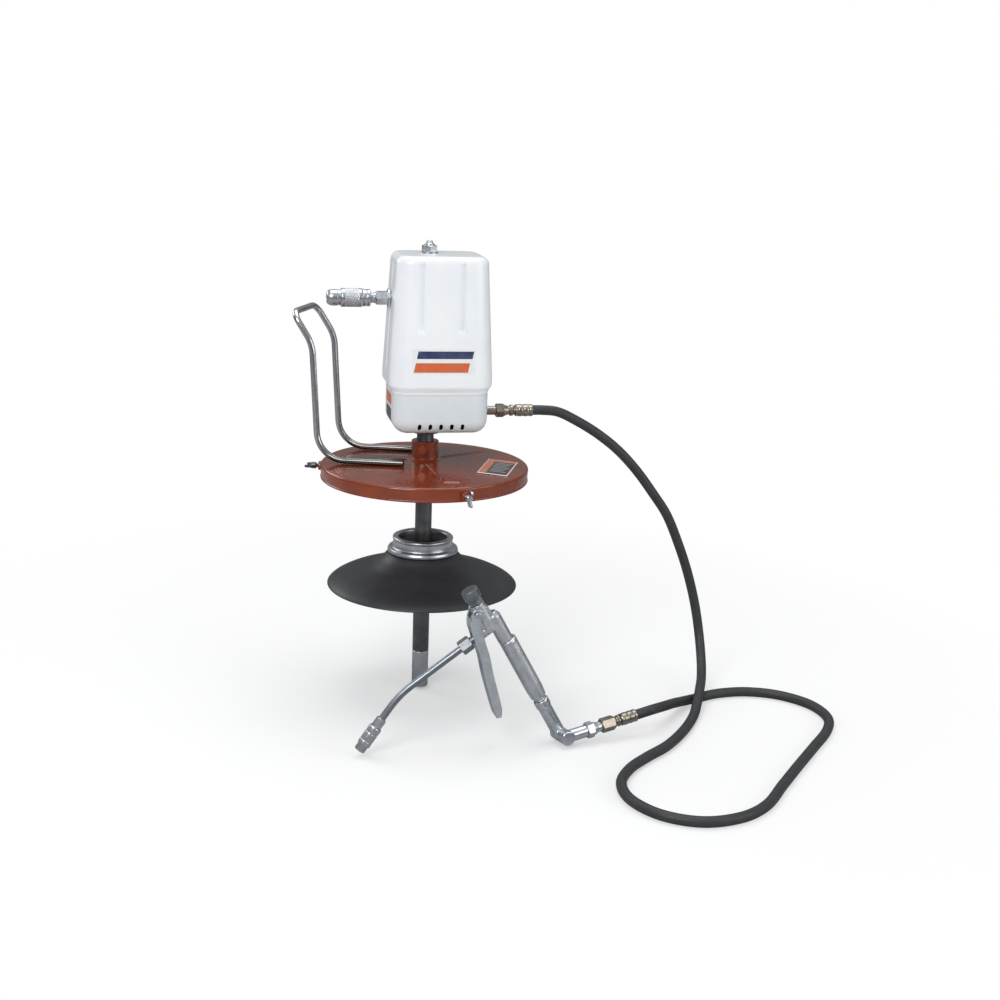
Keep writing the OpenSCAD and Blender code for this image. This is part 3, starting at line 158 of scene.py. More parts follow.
# %% Grid and mesh helpers
SAME_POINT = 1e-6
BEVEL_FROM = math.radians(40)


def skin(points, ring=False):
    """Faces over a grid of rows and columns that is closed around its columns.

    With ring the last row meets the first, as in a hollow turned piece. Otherwise each
    end gets a fan to the middle of its row.
    """
    rows, cols = points.shape[:2]
    i = np.arange(rows if ring else rows - 1)[:, None]
    j = np.arange(cols)[None, :]
    below, above, beside = i * cols, (i + 1) % rows * cols, (j + 1) % cols
    quads = np.stack([below + j, below + beside, above + beside, above + j], -1).reshape(-1, 4)
    verts, faces = points.reshape(-1, 3), quads.tolist()
    for row in () if ring else (0, rows - 1):
        middle = len(verts)
        verts = np.vstack([verts, points[row].mean(axis=0)])
        faces += [[middle, row * cols + k, row * cols + (k + 1) % cols] for k in range(cols)]
    return verts, faces


def placed(shell, place):
    """The shell's points, carried by a place."""
    verts, faces = shell
    return verts @ place[:3, :3].T + place[:3, 3], faces


def mesh_of(name, shells, merge=False):
    """Closed shells as one mesh in metres, with its faces turned outwards."""
    verts, faces, start = [], [], 0
    for v, f in shells:
        verts.append(v)
        faces += [[k + start for k in face] for face in f]
        start += len(v)
    mesh = bpy.data.meshes.new(name)
    mesh.from_pydata((np.vstack(verts) * MM).tolist(), [], faces)
    bm = bmesh.new()
    bm.from_mesh(mesh)
    if merge:
        bmesh.ops.remove_doubles(bm, verts=bm.verts, dist=SAME_POINT)
    bmesh.ops.recalc_face_normals(bm, faces=bm.faces)
    bm.to_mesh(mesh)
    bm.free()
    return mesh


def piece(name, shells, look, body, stands_for=(), bevel=0.0, crease=35.0):
    """One object from closed shells. It rides on a body and may stand for solids of the frame."""
    mesh = mesh_of(name, shells, merge=True)
    mesh.shade_smooth()
    mesh.set_sharp_from_angle(angle=math.radians(crease))
    obj = bpy.data.objects.new(name, mesh)
    bpy.context.collection.objects.link(obj)
    mesh.materials.append(look)
    if bevel:
        edge = obj.modifiers.new("soft edges", "BEVEL")
        edge.width, edge.segments, edge.limit_method = bevel * MM, 2, "ANGLE"
        edge.angle_limit = BEVEL_FROM
    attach(obj, body)
    if stands_for:
        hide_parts(*stands_for)
    print(f"{name}: {len(mesh.polygons)} faces")
    return obj


# %% [markdown]
# ## Turned pieces
# Most parts of a pump come off a lathe. Their shape is a profile of radii and heights
# that goes round an axis. Real edges are never knife sharp, and an edge only catches the
# light if it has some width, so each corner of a profile is first cut back and rounded.

# %% Turned surfaces
AROUND = 72
HEX_POINTS = 144


def angles(count):
    """Equal steps round a full turn, as a row."""
    return np.linspace(0, 2 * np.pi, count, endpoint=False)[None, :]


def around_axis(r, a, z):
    """Point = (r cos a, r sin a, z), with r and z spread over the whole grid."""
    return np.stack(np.broadcast_arrays(r * np.cos(a), r * np.sin(a), z * np.ones_like(a)), -1)


def soften(profile, radius, steps=3, loop=False):
    """Each corner P becomes a curve (1-t)^2 A + 2t(1-t) P + t^2 B, A and B on its two sides."""
    p = np.asarray(profile, float)
    before, after = np.roll(p, 1, 0), np.roll(p, -1, 0)
    to_before, to_after = before - p, after - p
    gap_b = np.linalg.norm(to_before, axis=1, keepdims=True) + 1e-9
    gap_a = np.linalg.norm(to_after, axis=1, keepdims=True) + 1e-9
    start = p + to_before / gap_b * np.minimum(radius, 0.45 * gap_b)
    stop = p + to_after / gap_a * np.minimum(radius, 0.45 * gap_a)
    t = np.linspace(0, 1, steps + 1)[None, :, None]
    curves = (1 - t) ** 2 * start[:, None] + 2 * t * (1 - t) * p[:, None] + t**2 * stop[:, None]
    if loop:
        return curves.reshape(-1, 2)
    return np.vstack([p[:1], curves[1:-1].reshape(-1, 2), p[-1:]])


def lathe(profile, place=np.eye(4), radius=0.4, ring=False, around=AROUND, wave=None):
    """Point = (r cos a, r sin a, z) for each profile point and each angle a.

    wave(a, r, z) is added to the radius where the surface isn't round.
    """
    rz = soften(profile, radius, loop=ring) if radius else np.asarray(profile, float)
    a, r, z = angles(around), rz[:, :1], rz[:, 1:]
    return placed(skin(around_axis(r + (wave(a, r, z) if wave else 0), a, z), ring=ring), place)


def prism(across, low, high, place, bore=0.0):
    """A hexagon nut: its radius is that of the flats, or of a 30 degree cone at its ends if less."""
    a = angles(HEX_POINTS)
    half = np.pi / 6
    flats = across / 2 / np.cos((a + half) % (2 * half) - half)
    rim = across * 0.075 * np.linspace(0, 1, 7)
    z = np.concatenate([[low], low + rim, high - rim[::-1], [high]])[:, None]
    cone = across / 2 * 0.96 + np.minimum(z - low, high - z) / math.tan(math.radians(30))
    r = np.minimum(flats, cone) * np.ones_like(z)
    r[0] = r[-1] = across / 2 * 0.9
    grid = around_axis(r, a, z)
    if bore:
        grid = np.concatenate([grid, around_axis(bore / 2, a, np.array([[high], [low]]))])
    return placed(skin(grid, ring=bool(bore)), place)


def turned(name, profile, look, body, solid, slot, place=np.eye(4), crease=35.0, **shape):
    """A piece that is one ring off the lathe and stands for one solid of the frame."""
    return piece(name, [lathe(profile, place, ring=True, **shape)], look, body, [solid], crease=crease)


# %% [markdown]
# ## Finishes
# Paint, zinc, chrome and rubber differ in three things: how the colour wanders, how rough
# the surface is, and how fine its grain stands up. One recipe takes these as numbers. It
# reads object coordinates, so its pattern stays put when the piece moves.

# %% Material recipe
# Dark brown for painted shade, and the noise that roughens the edge of each shaded patch.
PAINTED_SHADE_BROWN, SHADE_EDGE_PER_MM = (0.050, 0.020, 0.013), 0.03
SPOTS_PER_MM, SPOTS_FROM, SPOTS_TO = 0.9, 0.62, 0.78


def new_tree(name):
    """An empty material with its shader and output."""
    material = bpy.data.materials.new(name)
    material.use_nodes = True
    tree = material.node_tree
    tree.nodes.clear()
    out = tree.nodes.new("ShaderNodeOutputMaterial")
    shader = tree.nodes.new("ShaderNodeBsdfPrincipled")
    tree.links.new(shader.outputs["BSDF"], out.inputs["Surface"])
    return material, tree, shader


def node(tree, kind, inputs=None, **settings):
    """A new shader node. Each of its inputs gets a plain value, or a link if a socket is given."""
    new = tree.nodes.new("ShaderNode" + kind)
    for key, value in settings.items():
        setattr(new, key, value)
    for key, value in (inputs or {}).items():
        if isinstance(value, bpy.types.NodeSocket):
            tree.links.new(value, new.inputs[key])
        else:
            new.inputs[key].default_value = value
    return new


def maths(tree, kind, first, second=0.0):
    """One step of arithmetic on two numbers or sockets."""
    return node(tree, "Math", {0: first, 1: second}, operation=kind).outputs["Value"]


def here(tree):
    """The point's place in the frame, in metres."""
    return node(tree, "TexCoord").outputs["Object"]


def noise(tree, per_mm, detail=3.0, stretch=(1, 1, 1)):
    """Noise with the given number of blotches per millimetre, stretched along an axis."""
    mapping = node(tree, "Mapping", {"Vector": here(tree), "Scale": stretch})
    inputs = {"Vector": mapping.outputs["Vector"], "Scale": per_mm / MM, "Detail": detail}
    return node(tree, "TexNoise", inputs).outputs["Fac"]


def spread(tree, value, low, high, from_low=0.35, from_high=0.65):
    """Maps the middle of a noise onto low..high."""
    inputs = {"Value": value, "From Min": from_low, "From Max": from_high, "To Min": low, "To Max": high}
    return node(tree, "MapRange", inputs).outputs["Result"]


def blend_colours(tree, share, first, second):
    """first where the share is 0, second where it is 1. Each is a colour or a socket."""
    mix = node(tree, "Mix", {"Factor": share}, data_type="RGBA")
    for key, value in (("A", first), ("B", second)):
        socket = [s for s in mix.inputs if s.name == key and s.type == "RGBA"][0]
        if isinstance(value, tuple):
            socket.default_value = (*value, 1)
        else:
            tree.links.new(value, socket)
    return [s for s in mix.outputs if s.type == "RGBA"][0]


def bump(tree, shader, height, depth_mm, strength=1.0, under=None):
    """Raises the shading by depth_mm times the height."""
    inputs = {"Distance": depth_mm * MM, "Strength": strength, "Height": height}
    if under:
        inputs["Normal"] = under
    normal = node(tree, "Bump", inputs).outputs["Normal"]
    tree.links.new(normal, shader.inputs["Normal"])
    return normal


def painted_shade_patch(tree, centre, reach):
    """Painted shade: 1 at the centre, 0 at the reach in metres, with a border that noise makes uneven."""
    gap = node(tree, "VectorMath", {0: here(tree), 1: centre}, operation="DISTANCE").outputs["Value"]
    near = spread(tree, gap, 1.0, 0.0, reach * 0.35, reach)
    return maths(tree, "MULTIPLY", near, spread(tree, noise(tree, SHADE_EDGE_PER_MM, 4), 0.45, 0.95))


def height_share(tree, low, high):
    """0 at the low height in metres and below it, 1 at the high one and above it."""
    parts = node(tree, "SeparateXYZ", {"Vector": here(tree)})
    return spread(tree, parts.outputs["Z"], 0, 1, low, high)


def finish(name, colour, shade, metal=0.0, rough=(0.3, 0.4), blotch=0.05, grain=1.2, depth=0.05,
           stretch=(1, 1, 1), coat=0.0, speck=None, shade_patches=(), foot=None):
    """Two colours wander into each other, the roughness wanders too, and a grain is raised.

    blotch and grain count spots per millimetre, and depth is the height of the grain in
    millimetres. speck = (colour, share) adds small spots, shade_patches = ((centre, reach), ...)
    paints patches of shade in dark brown, and foot = ((low, high), colour) paints a dark
    reflection that takes over below a height. These places are in metres.
    """
    material, tree, shader = new_tree(name)
    wander = spread(tree, noise(tree, blotch, 4), 0, 1)
    tone = blend_colours(tree, wander, colour, shade)
    if speck:
        spots = spread(tree, noise(tree, SPOTS_PER_MM, 2), 0, speck[1], SPOTS_FROM, SPOTS_TO)
        tone = blend_colours(tree, spots, tone, speck[0])
    # Each patch is painted shade: the colour turns dark brown towards its centre.
    for centre, reach in shade_patches:
        tone = blend_colours(tree, painted_shade_patch(tree, centre, reach), tone, PAINTED_SHADE_BROWN)
    # A painted dark reflection takes over the colour below the given height.
    if foot:
        tone = blend_colours(tree, height_share(tree, *foot[0]), foot[1], tone)
    tree.links.new(tone, shader.inputs["Base Color"])
    streak = noise(tree, grain, 3, stretch)
    tree.links.new(spread(tree, streak, rough[0], rough[1]), shader.inputs["Roughness"])
    fine = bump(tree, shader, streak, depth)
    bump(tree, shader, noise(tree, blotch * 3, 2), depth * 3, 0.4, fine)
    shader.inputs["Metallic"].default_value = metal
    shader.inputs["Coat Weight"].default_value = coat
    shader.inputs["Coat Roughness"].default_value = 0.08
    return material


PAINTED = {"rough": (0.30, 0.38), "blotch": 0.012, "grain": 0.35, "depth": 0.02, "coat": 0.35}
WHITE_PAINT = finish("white enamel", (0.83, 0.85, 0.865), (0.78, 0.805, 0.83), **PAINTED)
PAN_PAINT = finish("white enamel in the shade", (0.68, 0.72, 0.745), (0.63, 0.67, 0.69), **PAINTED)
# Painted shade around the hub: behind it and to its right, and to its left between the handle's arms, the
# orange paint turns dark brown where the motor shades the cover.
PAINTED_HUB_SHADE = (((0.050, 0.055, 0.012), 0.090), ((-0.075, 0.020, 0.008), 0.085))
ORANGE_PAINT = finish("orange enamel", (0.225, 0.033, 0.006), (0.17, 0.025, 0.005), rough=(0.20, 0.28),
                      blotch=0.02, grain=0.10, depth=0.010, coat=0.45, shade_patches=PAINTED_HUB_SHADE)
BRIGHT, BRIGHT_SHADE = (0.62, 0.63, 0.65), (0.55, 0.56, 0.58)
CHROME = finish("chrome", BRIGHT, BRIGHT_SHADE, metal=1.0, rough=(0.10, 0.18),
                blotch=0.03, grain=1.5, depth=0.006)
# Painted reflection: the handle chrome is dark grey below 13 mm and brightens up to 40 mm, where its low arms
# lie over the cover.
PAINTED_LOW_REFLECTION = ((0.013, 0.040), (0.135, 0.130, 0.125))
HANDLE_CHROME = finish("handle chrome", BRIGHT, BRIGHT_SHADE, metal=1.0, rough=(0.12, 0.22),
                       blotch=0.03, grain=1.5, depth=0.006, foot=PAINTED_LOW_REFLECTION)
NUT_ZINC = finish("dull zinc", (0.34, 0.36, 0.38), (0.25, 0.27, 0.29), metal=0.95, rough=(0.28, 0.42),
                  blotch=0.10, grain=1.4, depth=0.03)
ZINC = finish("bright zinc", (0.60, 0.62, 0.64), (0.50, 0.53, 0.56), metal=1.0, rough=(0.24, 0.38),
              blotch=0.12, grain=2.0, depth=0.02)
GUN_ZINC = finish("grey zinc", (0.72, 0.76, 0.80), (0.60, 0.64, 0.68), metal=1.0, rough=(0.20, 0.34),
                  blotch=0.10, grain=1.6, depth=0.04)
CAST = finish("cast zinc", (0.66, 0.69, 0.72), (0.54, 0.57, 0.60), metal=0.95, rough=(0.28, 0.44),
              blotch=0.10, grain=1.1, depth=0.05)
BRONZE_ZINC = finish("yellow zinc", (0.42, 0.37, 0.30), (0.30, 0.27, 0.24), metal=1.0, rough=(0.20, 0.36),
                     blotch=0.10, grain=1.6, depth=0.03)
DARK_STEEL = finish("oiled steel", (0.17, 0.175, 0.18), (0.11, 0.113, 0.12), metal=0.9, rough=(0.32, 0.48),
                    blotch=0.05, grain=1.4, depth=0.03, stretch=(1, 1, 0.15))
BARE_STEEL = finish("machined steel", (0.62, 0.64, 0.67), (0.50, 0.52, 0.55), metal=1.0, rough=(0.28, 0.42),
                    blotch=0.06, grain=1.8, depth=0.02, stretch=(0.3, 0.3, 1))
CAP_STEEL = finish("dark phosphate", (0.20, 0.22, 0.24), (0.13, 0.145, 0.16), metal=0.7, rough=(0.38, 0.52),
                   blotch=0.10, grain=1.6, depth=0.04)
PIPE_ZINC = finish("drawn pipe", (0.30, 0.33, 0.36), (0.24, 0.27, 0.30), metal=1.0, rough=(0.30, 0.42),
                   blotch=0.08, grain=1.6, depth=0.02)
IRON = finish("cast iron", (0.14, 0.14, 0.145), (0.09, 0.09, 0.095), metal=0.5, rough=(0.5, 0.65),
              blotch=0.08, grain=0.8, depth=0.12)
RUBBER = finish("black rubber", (0.030, 0.033, 0.038), (0.023, 0.025, 0.030), rough=(0.38, 0.50),
                blotch=0.03, grain=0.9, depth=0.02, speck=((0.05, 0.053, 0.058), 0.2))
SEAL = finish("seal", (0.035, 0.034, 0.034), (0.05, 0.05, 0.05), rough=(0.5, 0.6), grain=1.5, depth=0.03)
BRASS = finish("brass", (0.60, 0.42, 0.17), (0.50, 0.35, 0.15), metal=1.0, rough=(0.28, 0.4),
               grain=1.8, depth=0.02)
FELT = finish("felt", (0.42, 0.38, 0.32), (0.33, 0.30, 0.26), rough=(0.85, 0.95),
              blotch=0.3, grain=1.2, depth=0.4)
print("finishes:", len(bpy.data.materials))

# %% [markdown]
# ## The hose
# A grease hose is a rubber tube of fixed length. It leaves the pump level, sinks under its
# own weight, runs over the floor in one loose loop and rises into the control valve. Its
# middle line passes through the same points as the solid, and a ring of points is carried
# along that line. The ring must not spin, so each ring keeps as much of the last ring's
# direction as it can.

# %% Hose route
HOSE_D = 15.0
ROUTE = [
    (205, 0, 82), (235, 1, 68), (270, 2, 47), (305, 3, 20), (337, 4, -13), (366, 5, -50),
    (392, 5, -87), (414, 5, -134), (433, 5, -183), (448, 2, -236), (455, -9, -284), (452, -36, -319),
    (441, -72, -334), (426, -110, -336), (410, -146, -345), (391, -184, -352), (358, -236, -352),
    (318, -284, -352), (278, -318, -352), (242, -353, -352), (217, -397, -352), (216, -448, -352),
    (243, -496, -352), (291, -522, -352), (346, -516, -352), (392, -486, -352), (437, -430, -352),
    (483, -373, -352), (529, -317, -352), (574, -261, -352), (596, -213, -352), (590, -160, -352),
    (556, -117, -352), (510, -97, -352), (462, -98, -352), (421, -113, -352), (390, -135, -347),
    (367, -160, -339), (343, -188, -331)]
PUMP_END, VALVE_END = 164.0, 117.0
hose_start = np.array([PUMP_END, 0.0, OUTLET_Z])
hose_end = hose_joint + VALVE_END * hose_dir
knots = np.array([hose_start, hose_start + (HOSE_D, 0, 0), *ROUTE,
                  hose_end + 2 * HOSE_D * hose_dir, hose_end + HOSE_D * hose_dir, hose_end])


def smooth_line(points, steps):
    """Catmull-Rom: ((2b) + (c-a)t + (2a-5b+4c-d)t^2 + (3b-a-3c+d)t^3) / 2 between b and c."""
    p = np.vstack([points[:1], points, points[-1:]])
    a, b, c, d = (p[k:len(p) - 3 + k, None] for k in range(4))
    t = (np.arange(steps) / steps)[None, :, None]
    curve = (2 * b + (c - a) * t + (2 * a - 5 * b + 4 * c - d) * t**2 + (3 * b - a - 3 * c + d) * t**3) / 2
    return np.vstack([curve.reshape(-1, 3), points[-1:]])


def directions(line):
    """The line's direction at each point, from the points before and after it."""
    d = np.gradient(line, axis=0)
    return d / np.linalg.norm(d, axis=1, keepdims=True)


def tube(line, radius, sides, place=np.eye(4), first=(0, 0, 1)):
    """Point = line + r (cos a U + sin a V). U is the last U made square to the new direction."""
    d = directions(line)
    u, carried = np.zeros_like(line), np.array(first, float)
    for k, ahead in enumerate(d):
        carried = unit(carried - (carried @ ahead) * ahead)
        u[k] = carried
    v = np.cross(d, u)
    a = angles(sides)[..., None]
    r = (np.ones(len(line)) * radius)[:, None, None]
    return placed(skin(line[:, None] + r * (np.cos(a) * u[:, None] + np.sin(a) * v[:, None])), place)


def travelled(line):
    """How far along the line each of its points lies."""
    return np.concatenate([[0], np.cumsum(np.linalg.norm(np.diff(line, axis=0), axis=1))])


hose_line = smooth_line(knots, 14)

# %% [markdown]
# The cover of such a hose was wrapped in cloth while it was cured, and the cloth left its
# weave in the rubber. The weave follows the hose, so it can't be read from object
# coordinates. It gets two numbers at each face corner instead: how far round, and how far
# along in millimetres.

# %% Hose material
THREADS_ROUND, THREAD_PITCH = 14, 4.2


def weave_finish(name, colour, dust):
    """Height = sin(2 pi (n u + v/p)) sin(2 pi (n u - v/p)): two sets of threads that cross."""
    material, tree, shader = new_tree(name)
    uv = node(tree, "UVMap", uv_map="along").outputs["UV"]
    split = node(tree, "SeparateXYZ", {"Vector": uv}).outputs
    around = maths(tree, "MULTIPLY", split["X"], 2 * math.pi * THREADS_ROUND)
    along = maths(tree, "MULTIPLY", split["Y"], 2 * math.pi / THREAD_PITCH)
    one = maths(tree, "SINE", maths(tree, "ADD", around, along))
    other = maths(tree, "SINE", maths(tree, "SUBTRACT", around, along))
    threads = maths(tree, "MULTIPLY", one, other)
    dusty = spread(tree, noise(tree, 0.04, 4), 0.0, 0.5, 0.45, 0.75)
    tone = blend_colours(tree, dusty, colour, dust)
    tree.links.new(tone, shader.inputs["Base Color"])
    tree.links.new(spread(tree, noise(tree, 0.6, 3), 0.42, 0.58), shader.inputs["Roughness"])
    low = bump(tree, shader, threads, 0.05, 0.6)
    bump(tree, shader, noise(tree, 1.2, 3), 0.08, 0.5, low)
    return material


HOSE_RUBBER = weave_finish("hose cover", (0.026, 0.027, 0.031), (0.045, 0.045, 0.048))

# %% Hose
HOSE_SIDES = 28
hose = piece("hose_line", [tube(hose_line, HOSE_D / 2, HOSE_SIDES)], HOSE_RUBBER, "pump",
             ["hose"])


def along_map(obj, line, sides):
    """Corner (i, j) gets (j / sides, length up to i); the last column ends at 1, not at 0."""
    mesh = obj.data
    far = travelled(line)
    layer = mesh.uv_layers.new(name="along")
    index = np.zeros(len(mesh.loops), int)
    mesh.loops.foreach_get("vertex_index", index)
    start = np.zeros(len(mesh.polygons), int)
    total = np.zeros(len(mesh.polygons), int)
    mesh.polygons.foreach_get("loop_start", start)
    mesh.polygons.foreach_get("loop_total", total)
    column = (index % sides).astype(float)
    row = np.minimum(index // sides, len(line) - 1)
    owner = np.repeat(np.arange(len(total)), total)
    widest = np.zeros(len(total))
    np.maximum.at(widest, owner, column)
    column = np.where((column == 0) & (widest[owner] == sides - 1), sides, column)
    layer.data.foreach_set("uv", np.stack([column / sides, far[row]], -1).astype(np.float32).ravel())


along_map(hose, hose_line, HOSE_SIDES)

# %% [markdown]
# ## Hose ends
# Each end is a plated steel stem with a hexagon, and a shell that a press squeezes onto
# the hose. The squeeze leaves a row of shallow rings and flats, which tell a pressed
# fitting from a screwed one.

# %% Hose fittings
SHELL_D, SHELL_BORE = 18.6, 12.6


def jaw_flats(a, r, z):
    """Eight shallow marks round the shell, where the jaws of the press met."""
    return np.where(r > SHELL_BORE, -0.12 * np.abs(np.cos(4 * a)) ** 6, 0)


def pressed_shell(low, high, place):
    """The shell's radius falls by 0.55 mm in three rings and is rounded at both ends."""
    z = np.linspace(low, high, 60)
    share = (z - low) / (high - low)
    rings = 0.55 * np.clip(np.sin(share * 3 * 2 * np.pi - 0.6), 0, 1) ** 0.5
    ends = 0.8 * np.clip((0.04 - share) / 0.04, 0, 1) + 0.6 * np.clip((share - 0.97) / 0.03, 0, 1)
    outer = np.stack([SHELL_D / 2 - rings - ends, z], -1)
    profile = np.vstack([outer, [[SHELL_BORE / 2, high], [SHELL_BORE / 2, low]]])
    return lathe(profile, place, radius=0, ring=True, around=96, wave=jaw_flats)


def fitting(hex_low, hex_high, cone_end, bead_end, shell_start, shell_end, place):
    """Hexagon, cone, bead and pressed shell in one row along the fitting's axis."""
    stem = [(4.2, hex_low + 1), (4.2, hex_low + 0.2),
            (8.6, hex_high - 0.4), (9.4, hex_high + 0.3), (8.4, hex_high + 2.2),
            (6.6, cone_end - 2), (6.6, cone_end), (8.5, cone_end + 0.8),
            (8.5, bead_end - 0.8), (6.8, bead_end + 0.4),
            (6.2, shell_start + 1), (6.2, shell_end - 1), (4.2, shell_end - 1)]
    return [prism(19.0, hex_low, hex_high, place, 8.0), lathe(stem, place, ring=True),
            pressed_shell(shell_start, shell_end, place)]


PUMP_ROWS = (107, 119, 128, 134, 137, PUMP_END)
VALVE_ROWS = (58, 79, 85, 89, 91, VALVE_END)
pump_fitting = piece("pump_fitting", fitting(*PUMP_ROWS, pump_outlet), BRONZE_ZINC, "pump",
                     ["pump_hose_end"])
valve_fitting = piece("valve_fitting", fitting(*VALVE_ROWS, hose_side), BRONZE_ZINC, "pump",
                      ["valve_hose_end"])
neck_line = [(4, 68), (6.75, 68), (6.75, 88), (7.6, 89), (7.6, 92), (6.75, 93), (6.75, 107), (4, 107)]
adapter = turned("outlet_neck", neck_line, BRONZE_ZINC, "pump", "outlet_adapter", "bare_zinc", pump_outlet)

# %% [markdown]
# ## The motor cover
# The cover is a die-cast shell on a plan of a rectangle with round corners. Its width,
# depth and corner radius change with height, so the whole shell is one function of the
# height and of the way round. Two upright flutes in front and a narrow groove at the left
# are pressed into it. A flute has a soft slope on one side and a crisp edge on the other.

# %% Rounded plan
CORNERS = ((1, 1), (-1, 1), (-1, -1), (1, -1))


def plan(width, depth, corner, per_side=110, per_corner=12):
    """Points round a rectangle with round corners: straight runs between quarter circles."""
    width, depth, corner = (np.asarray(v, float)[:, None] for v in (width, depth, corner))
    far_x, far_y = width / 2 - corner, depth / 2 - corner
    t = np.linspace(0, 1, per_side, endpoint=False)[None, :]
    parts = []
    for quarter, (sx, sy) in enumerate(CORNERS):
        nx, ny = CORNERS[(quarter + 1) % 4]
        a = np.linspace(0, np.pi / 2, per_corner, endpoint=False)[None, :] + quarter * np.pi / 2
        parts.append(np.stack([sx * far_x + corner * np.cos(a), sy * far_y + corner * np.sin(a)], -1))
        end = (quarter + 1) * np.pi / 2
        x = (sx + (nx - sx) * t) * far_x + corner * math.cos(end)
        y = (sy + (ny - sy) * t) * far_y + corner * math.sin(end)
        parts.append(np.stack([x, y], -1))
    return np.concatenate(parts, axis=1)


def at_heights(outline, heights):
    """The outline's points in the plane, each row at its own height."""
    return np.dstack([outline[..., 0], outline[..., 1], heights[:, None] * np.ones(outline.shape[1])])


def step(value, low, high):
    """Smooth rise from 0 to 1 between low and high: t^2 (3 - 2t)."""
    t = np.clip((value - low) / (high - low), 0, 1)
    return t * t * (3 - 2 * t)


def band(value, low, high, rise, fall):
    """1 between low and high, with a smooth rise above the one and a smooth fall below the other."""
    return step(value, low, low + rise) * (1 - step(value, high - fall, high))


# %% Motor cover
SHELL_X = 15.0
RIM_LOW, RIM_HIGH, WALL_LOW, WALL_HIGH, COVER_TOP = 120.0, 133.0, 144.0, 308.0, 320.0
COVER_W, COVER_D, COVER_CORNER = 142.0, 120.0, 24.0
RIM_OUT, RIM_CORNER = 12.0, 6.0
TAPER_W, TAPER_D, TAPER_CORNER = 18.0, 17.0, 4.5
TOP_ROUND = COVER_TOP - WALL_HIGH

edge_turn = np.radians(np.linspace(0, 90, 10))[1:]
heights = np.concatenate([[RIM_LOW, RIM_LOW + 0.4], np.linspace(RIM_LOW + 1, RIM_HIGH - 1, 10),
                          np.linspace(RIM_HIGH, WALL_LOW, 6), np.linspace(WALL_LOW + 1, WALL_HIGH, 110),
                          WALL_HIGH + TOP_ROUND * np.sin(edge_turn)])
taper = np.clip((heights - WALL_LOW) / (WALL_HIGH - WALL_LOW), 0, 1)
flare = step(heights, RIM_LOW + 0.5, RIM_HIGH)
inset = np.zeros(len(heights))
inset[-len(edge_turn):] = TOP_ROUND * (1 - np.cos(edge_turn))
width = COVER_W + RIM_OUT * flare - TAPER_W * taper - 2 * inset
depth = COVER_D + RIM_OUT * flare - TAPER_D * taper - 2 * inset
corner = COVER_CORNER + RIM_CORNER * flare - TAPER_CORNER * taper - inset
cover_grid = at_heights(plan(width, depth, corner), heights)

# %% Flutes
FLUTE_X, FLUTE_LOW, FLUTE_HIGH, FLUTE_DEEP, FLUTE_SOFT, FLUTE_CRISP = 30.0, 208.0, 313.0, 4.4, 11.0, 1.2
GROOVE_LOW, GROOVE_HIGH, GROOVE_DEEP, GROOVE_HALF = 150.0, 309.0, 2.6, 1.6


def flute(across, soft, crisp):
    """1 at the crisp edge, falling softly over one side and at once over the other."""
    return step(across, -soft, -0.5) * (1 - step(across, 0.2, crisp))


x, y, z = np.moveaxis(cover_grid, -1, 0)
front, left = (y < 0) & (np.abs(x) < 1.5 * FLUTE_X), (x < 0) & (np.abs(y) < FLUTE_X)
for middle in (-FLUTE_X, FLUTE_X):
    dip = flute(x - middle, FLUTE_SOFT, FLUTE_CRISP) * band(z, FLUTE_LOW, FLUTE_HIGH, 8, 7)
    cover_grid[..., 1] += np.where(front, FLUTE_DEEP * dip, 0)
dip = (1 - step(np.abs(y), GROOVE_HALF, GROOVE_HALF + 1.8)) * band(z, GROOVE_LOW, GROOVE_HIGH, 6, 7)
cover_grid[..., 0] += np.where(left, GROOVE_DEEP * dip, 0)

# %% [markdown]
# The rows so far are the wall. More rows close the top, which is a little domed, and a
# second, smaller wall inside makes the cover hollow.

# %% Top and inner wall
DOME, INNER_SHARE, TOP_WALL = 0.5, (0.962, 0.956, 1), 3.0
shrink = np.linspace(1, 0.02, 14)[1:, None, None]
crown = cover_grid[-1][None] * [1, 1, 0] * shrink + [0, 0, COVER_TOP]
crown[..., 2] += DOME * (1 - shrink[..., 0] ** 2)
inside = cover_grid[::-1] * INNER_SHARE
inside[..., 2] = np.minimum(inside[..., 2], COVER_TOP - TOP_WALL)
cover_shell = skin(np.concatenate([inside, cover_grid, crown]))
piece("motor_shell", [placed(cover_shell, shift(SHELL_X, 0, 0))], WHITE_PAINT, "pump", ["motor_cover"],
      crease=50)

# %% [markdown]
# ## The lower housing
# The lower half is a pan with a generous bottom radius. Five slots let the spent air out,
# and the outlet runs through a round hole at the right. They are real holes: the shell
# gets its wall first, and cutters are taken away from it, because a slot that is only
# painted on shows at once from another side.

# %% Carving helper
CUT_CREASE = math.radians(40)


def carve(obj, cutter_shells):
    """Takes the cutters away from the piece and keeps the result as the piece's own mesh."""
    mesh = mesh_of("cutter", cutter_shells)
    cutter = bpy.data.objects.new("cutter", mesh)
    bpy.context.collection.objects.link(cutter)
    cut = obj.modifiers.new("cut", "BOOLEAN")
    cut.object, cut.operation, cut.solver = cutter, "DIFFERENCE", "EXACT"
    bpy.context.view_layer.update()
    result = bpy.data.meshes.new_from_object(obj.evaluated_get(bpy.context.evaluated_depsgraph_get()))
    obj.modifiers.remove(cut)
    old, obj.data = obj.data, result
    result.name = old.name
    bpy.data.objects.remove(cutter)
    bpy.data.meshes.remove(mesh)
    obj.data.set_sharp_from_angle(angle=CUT_CREASE)


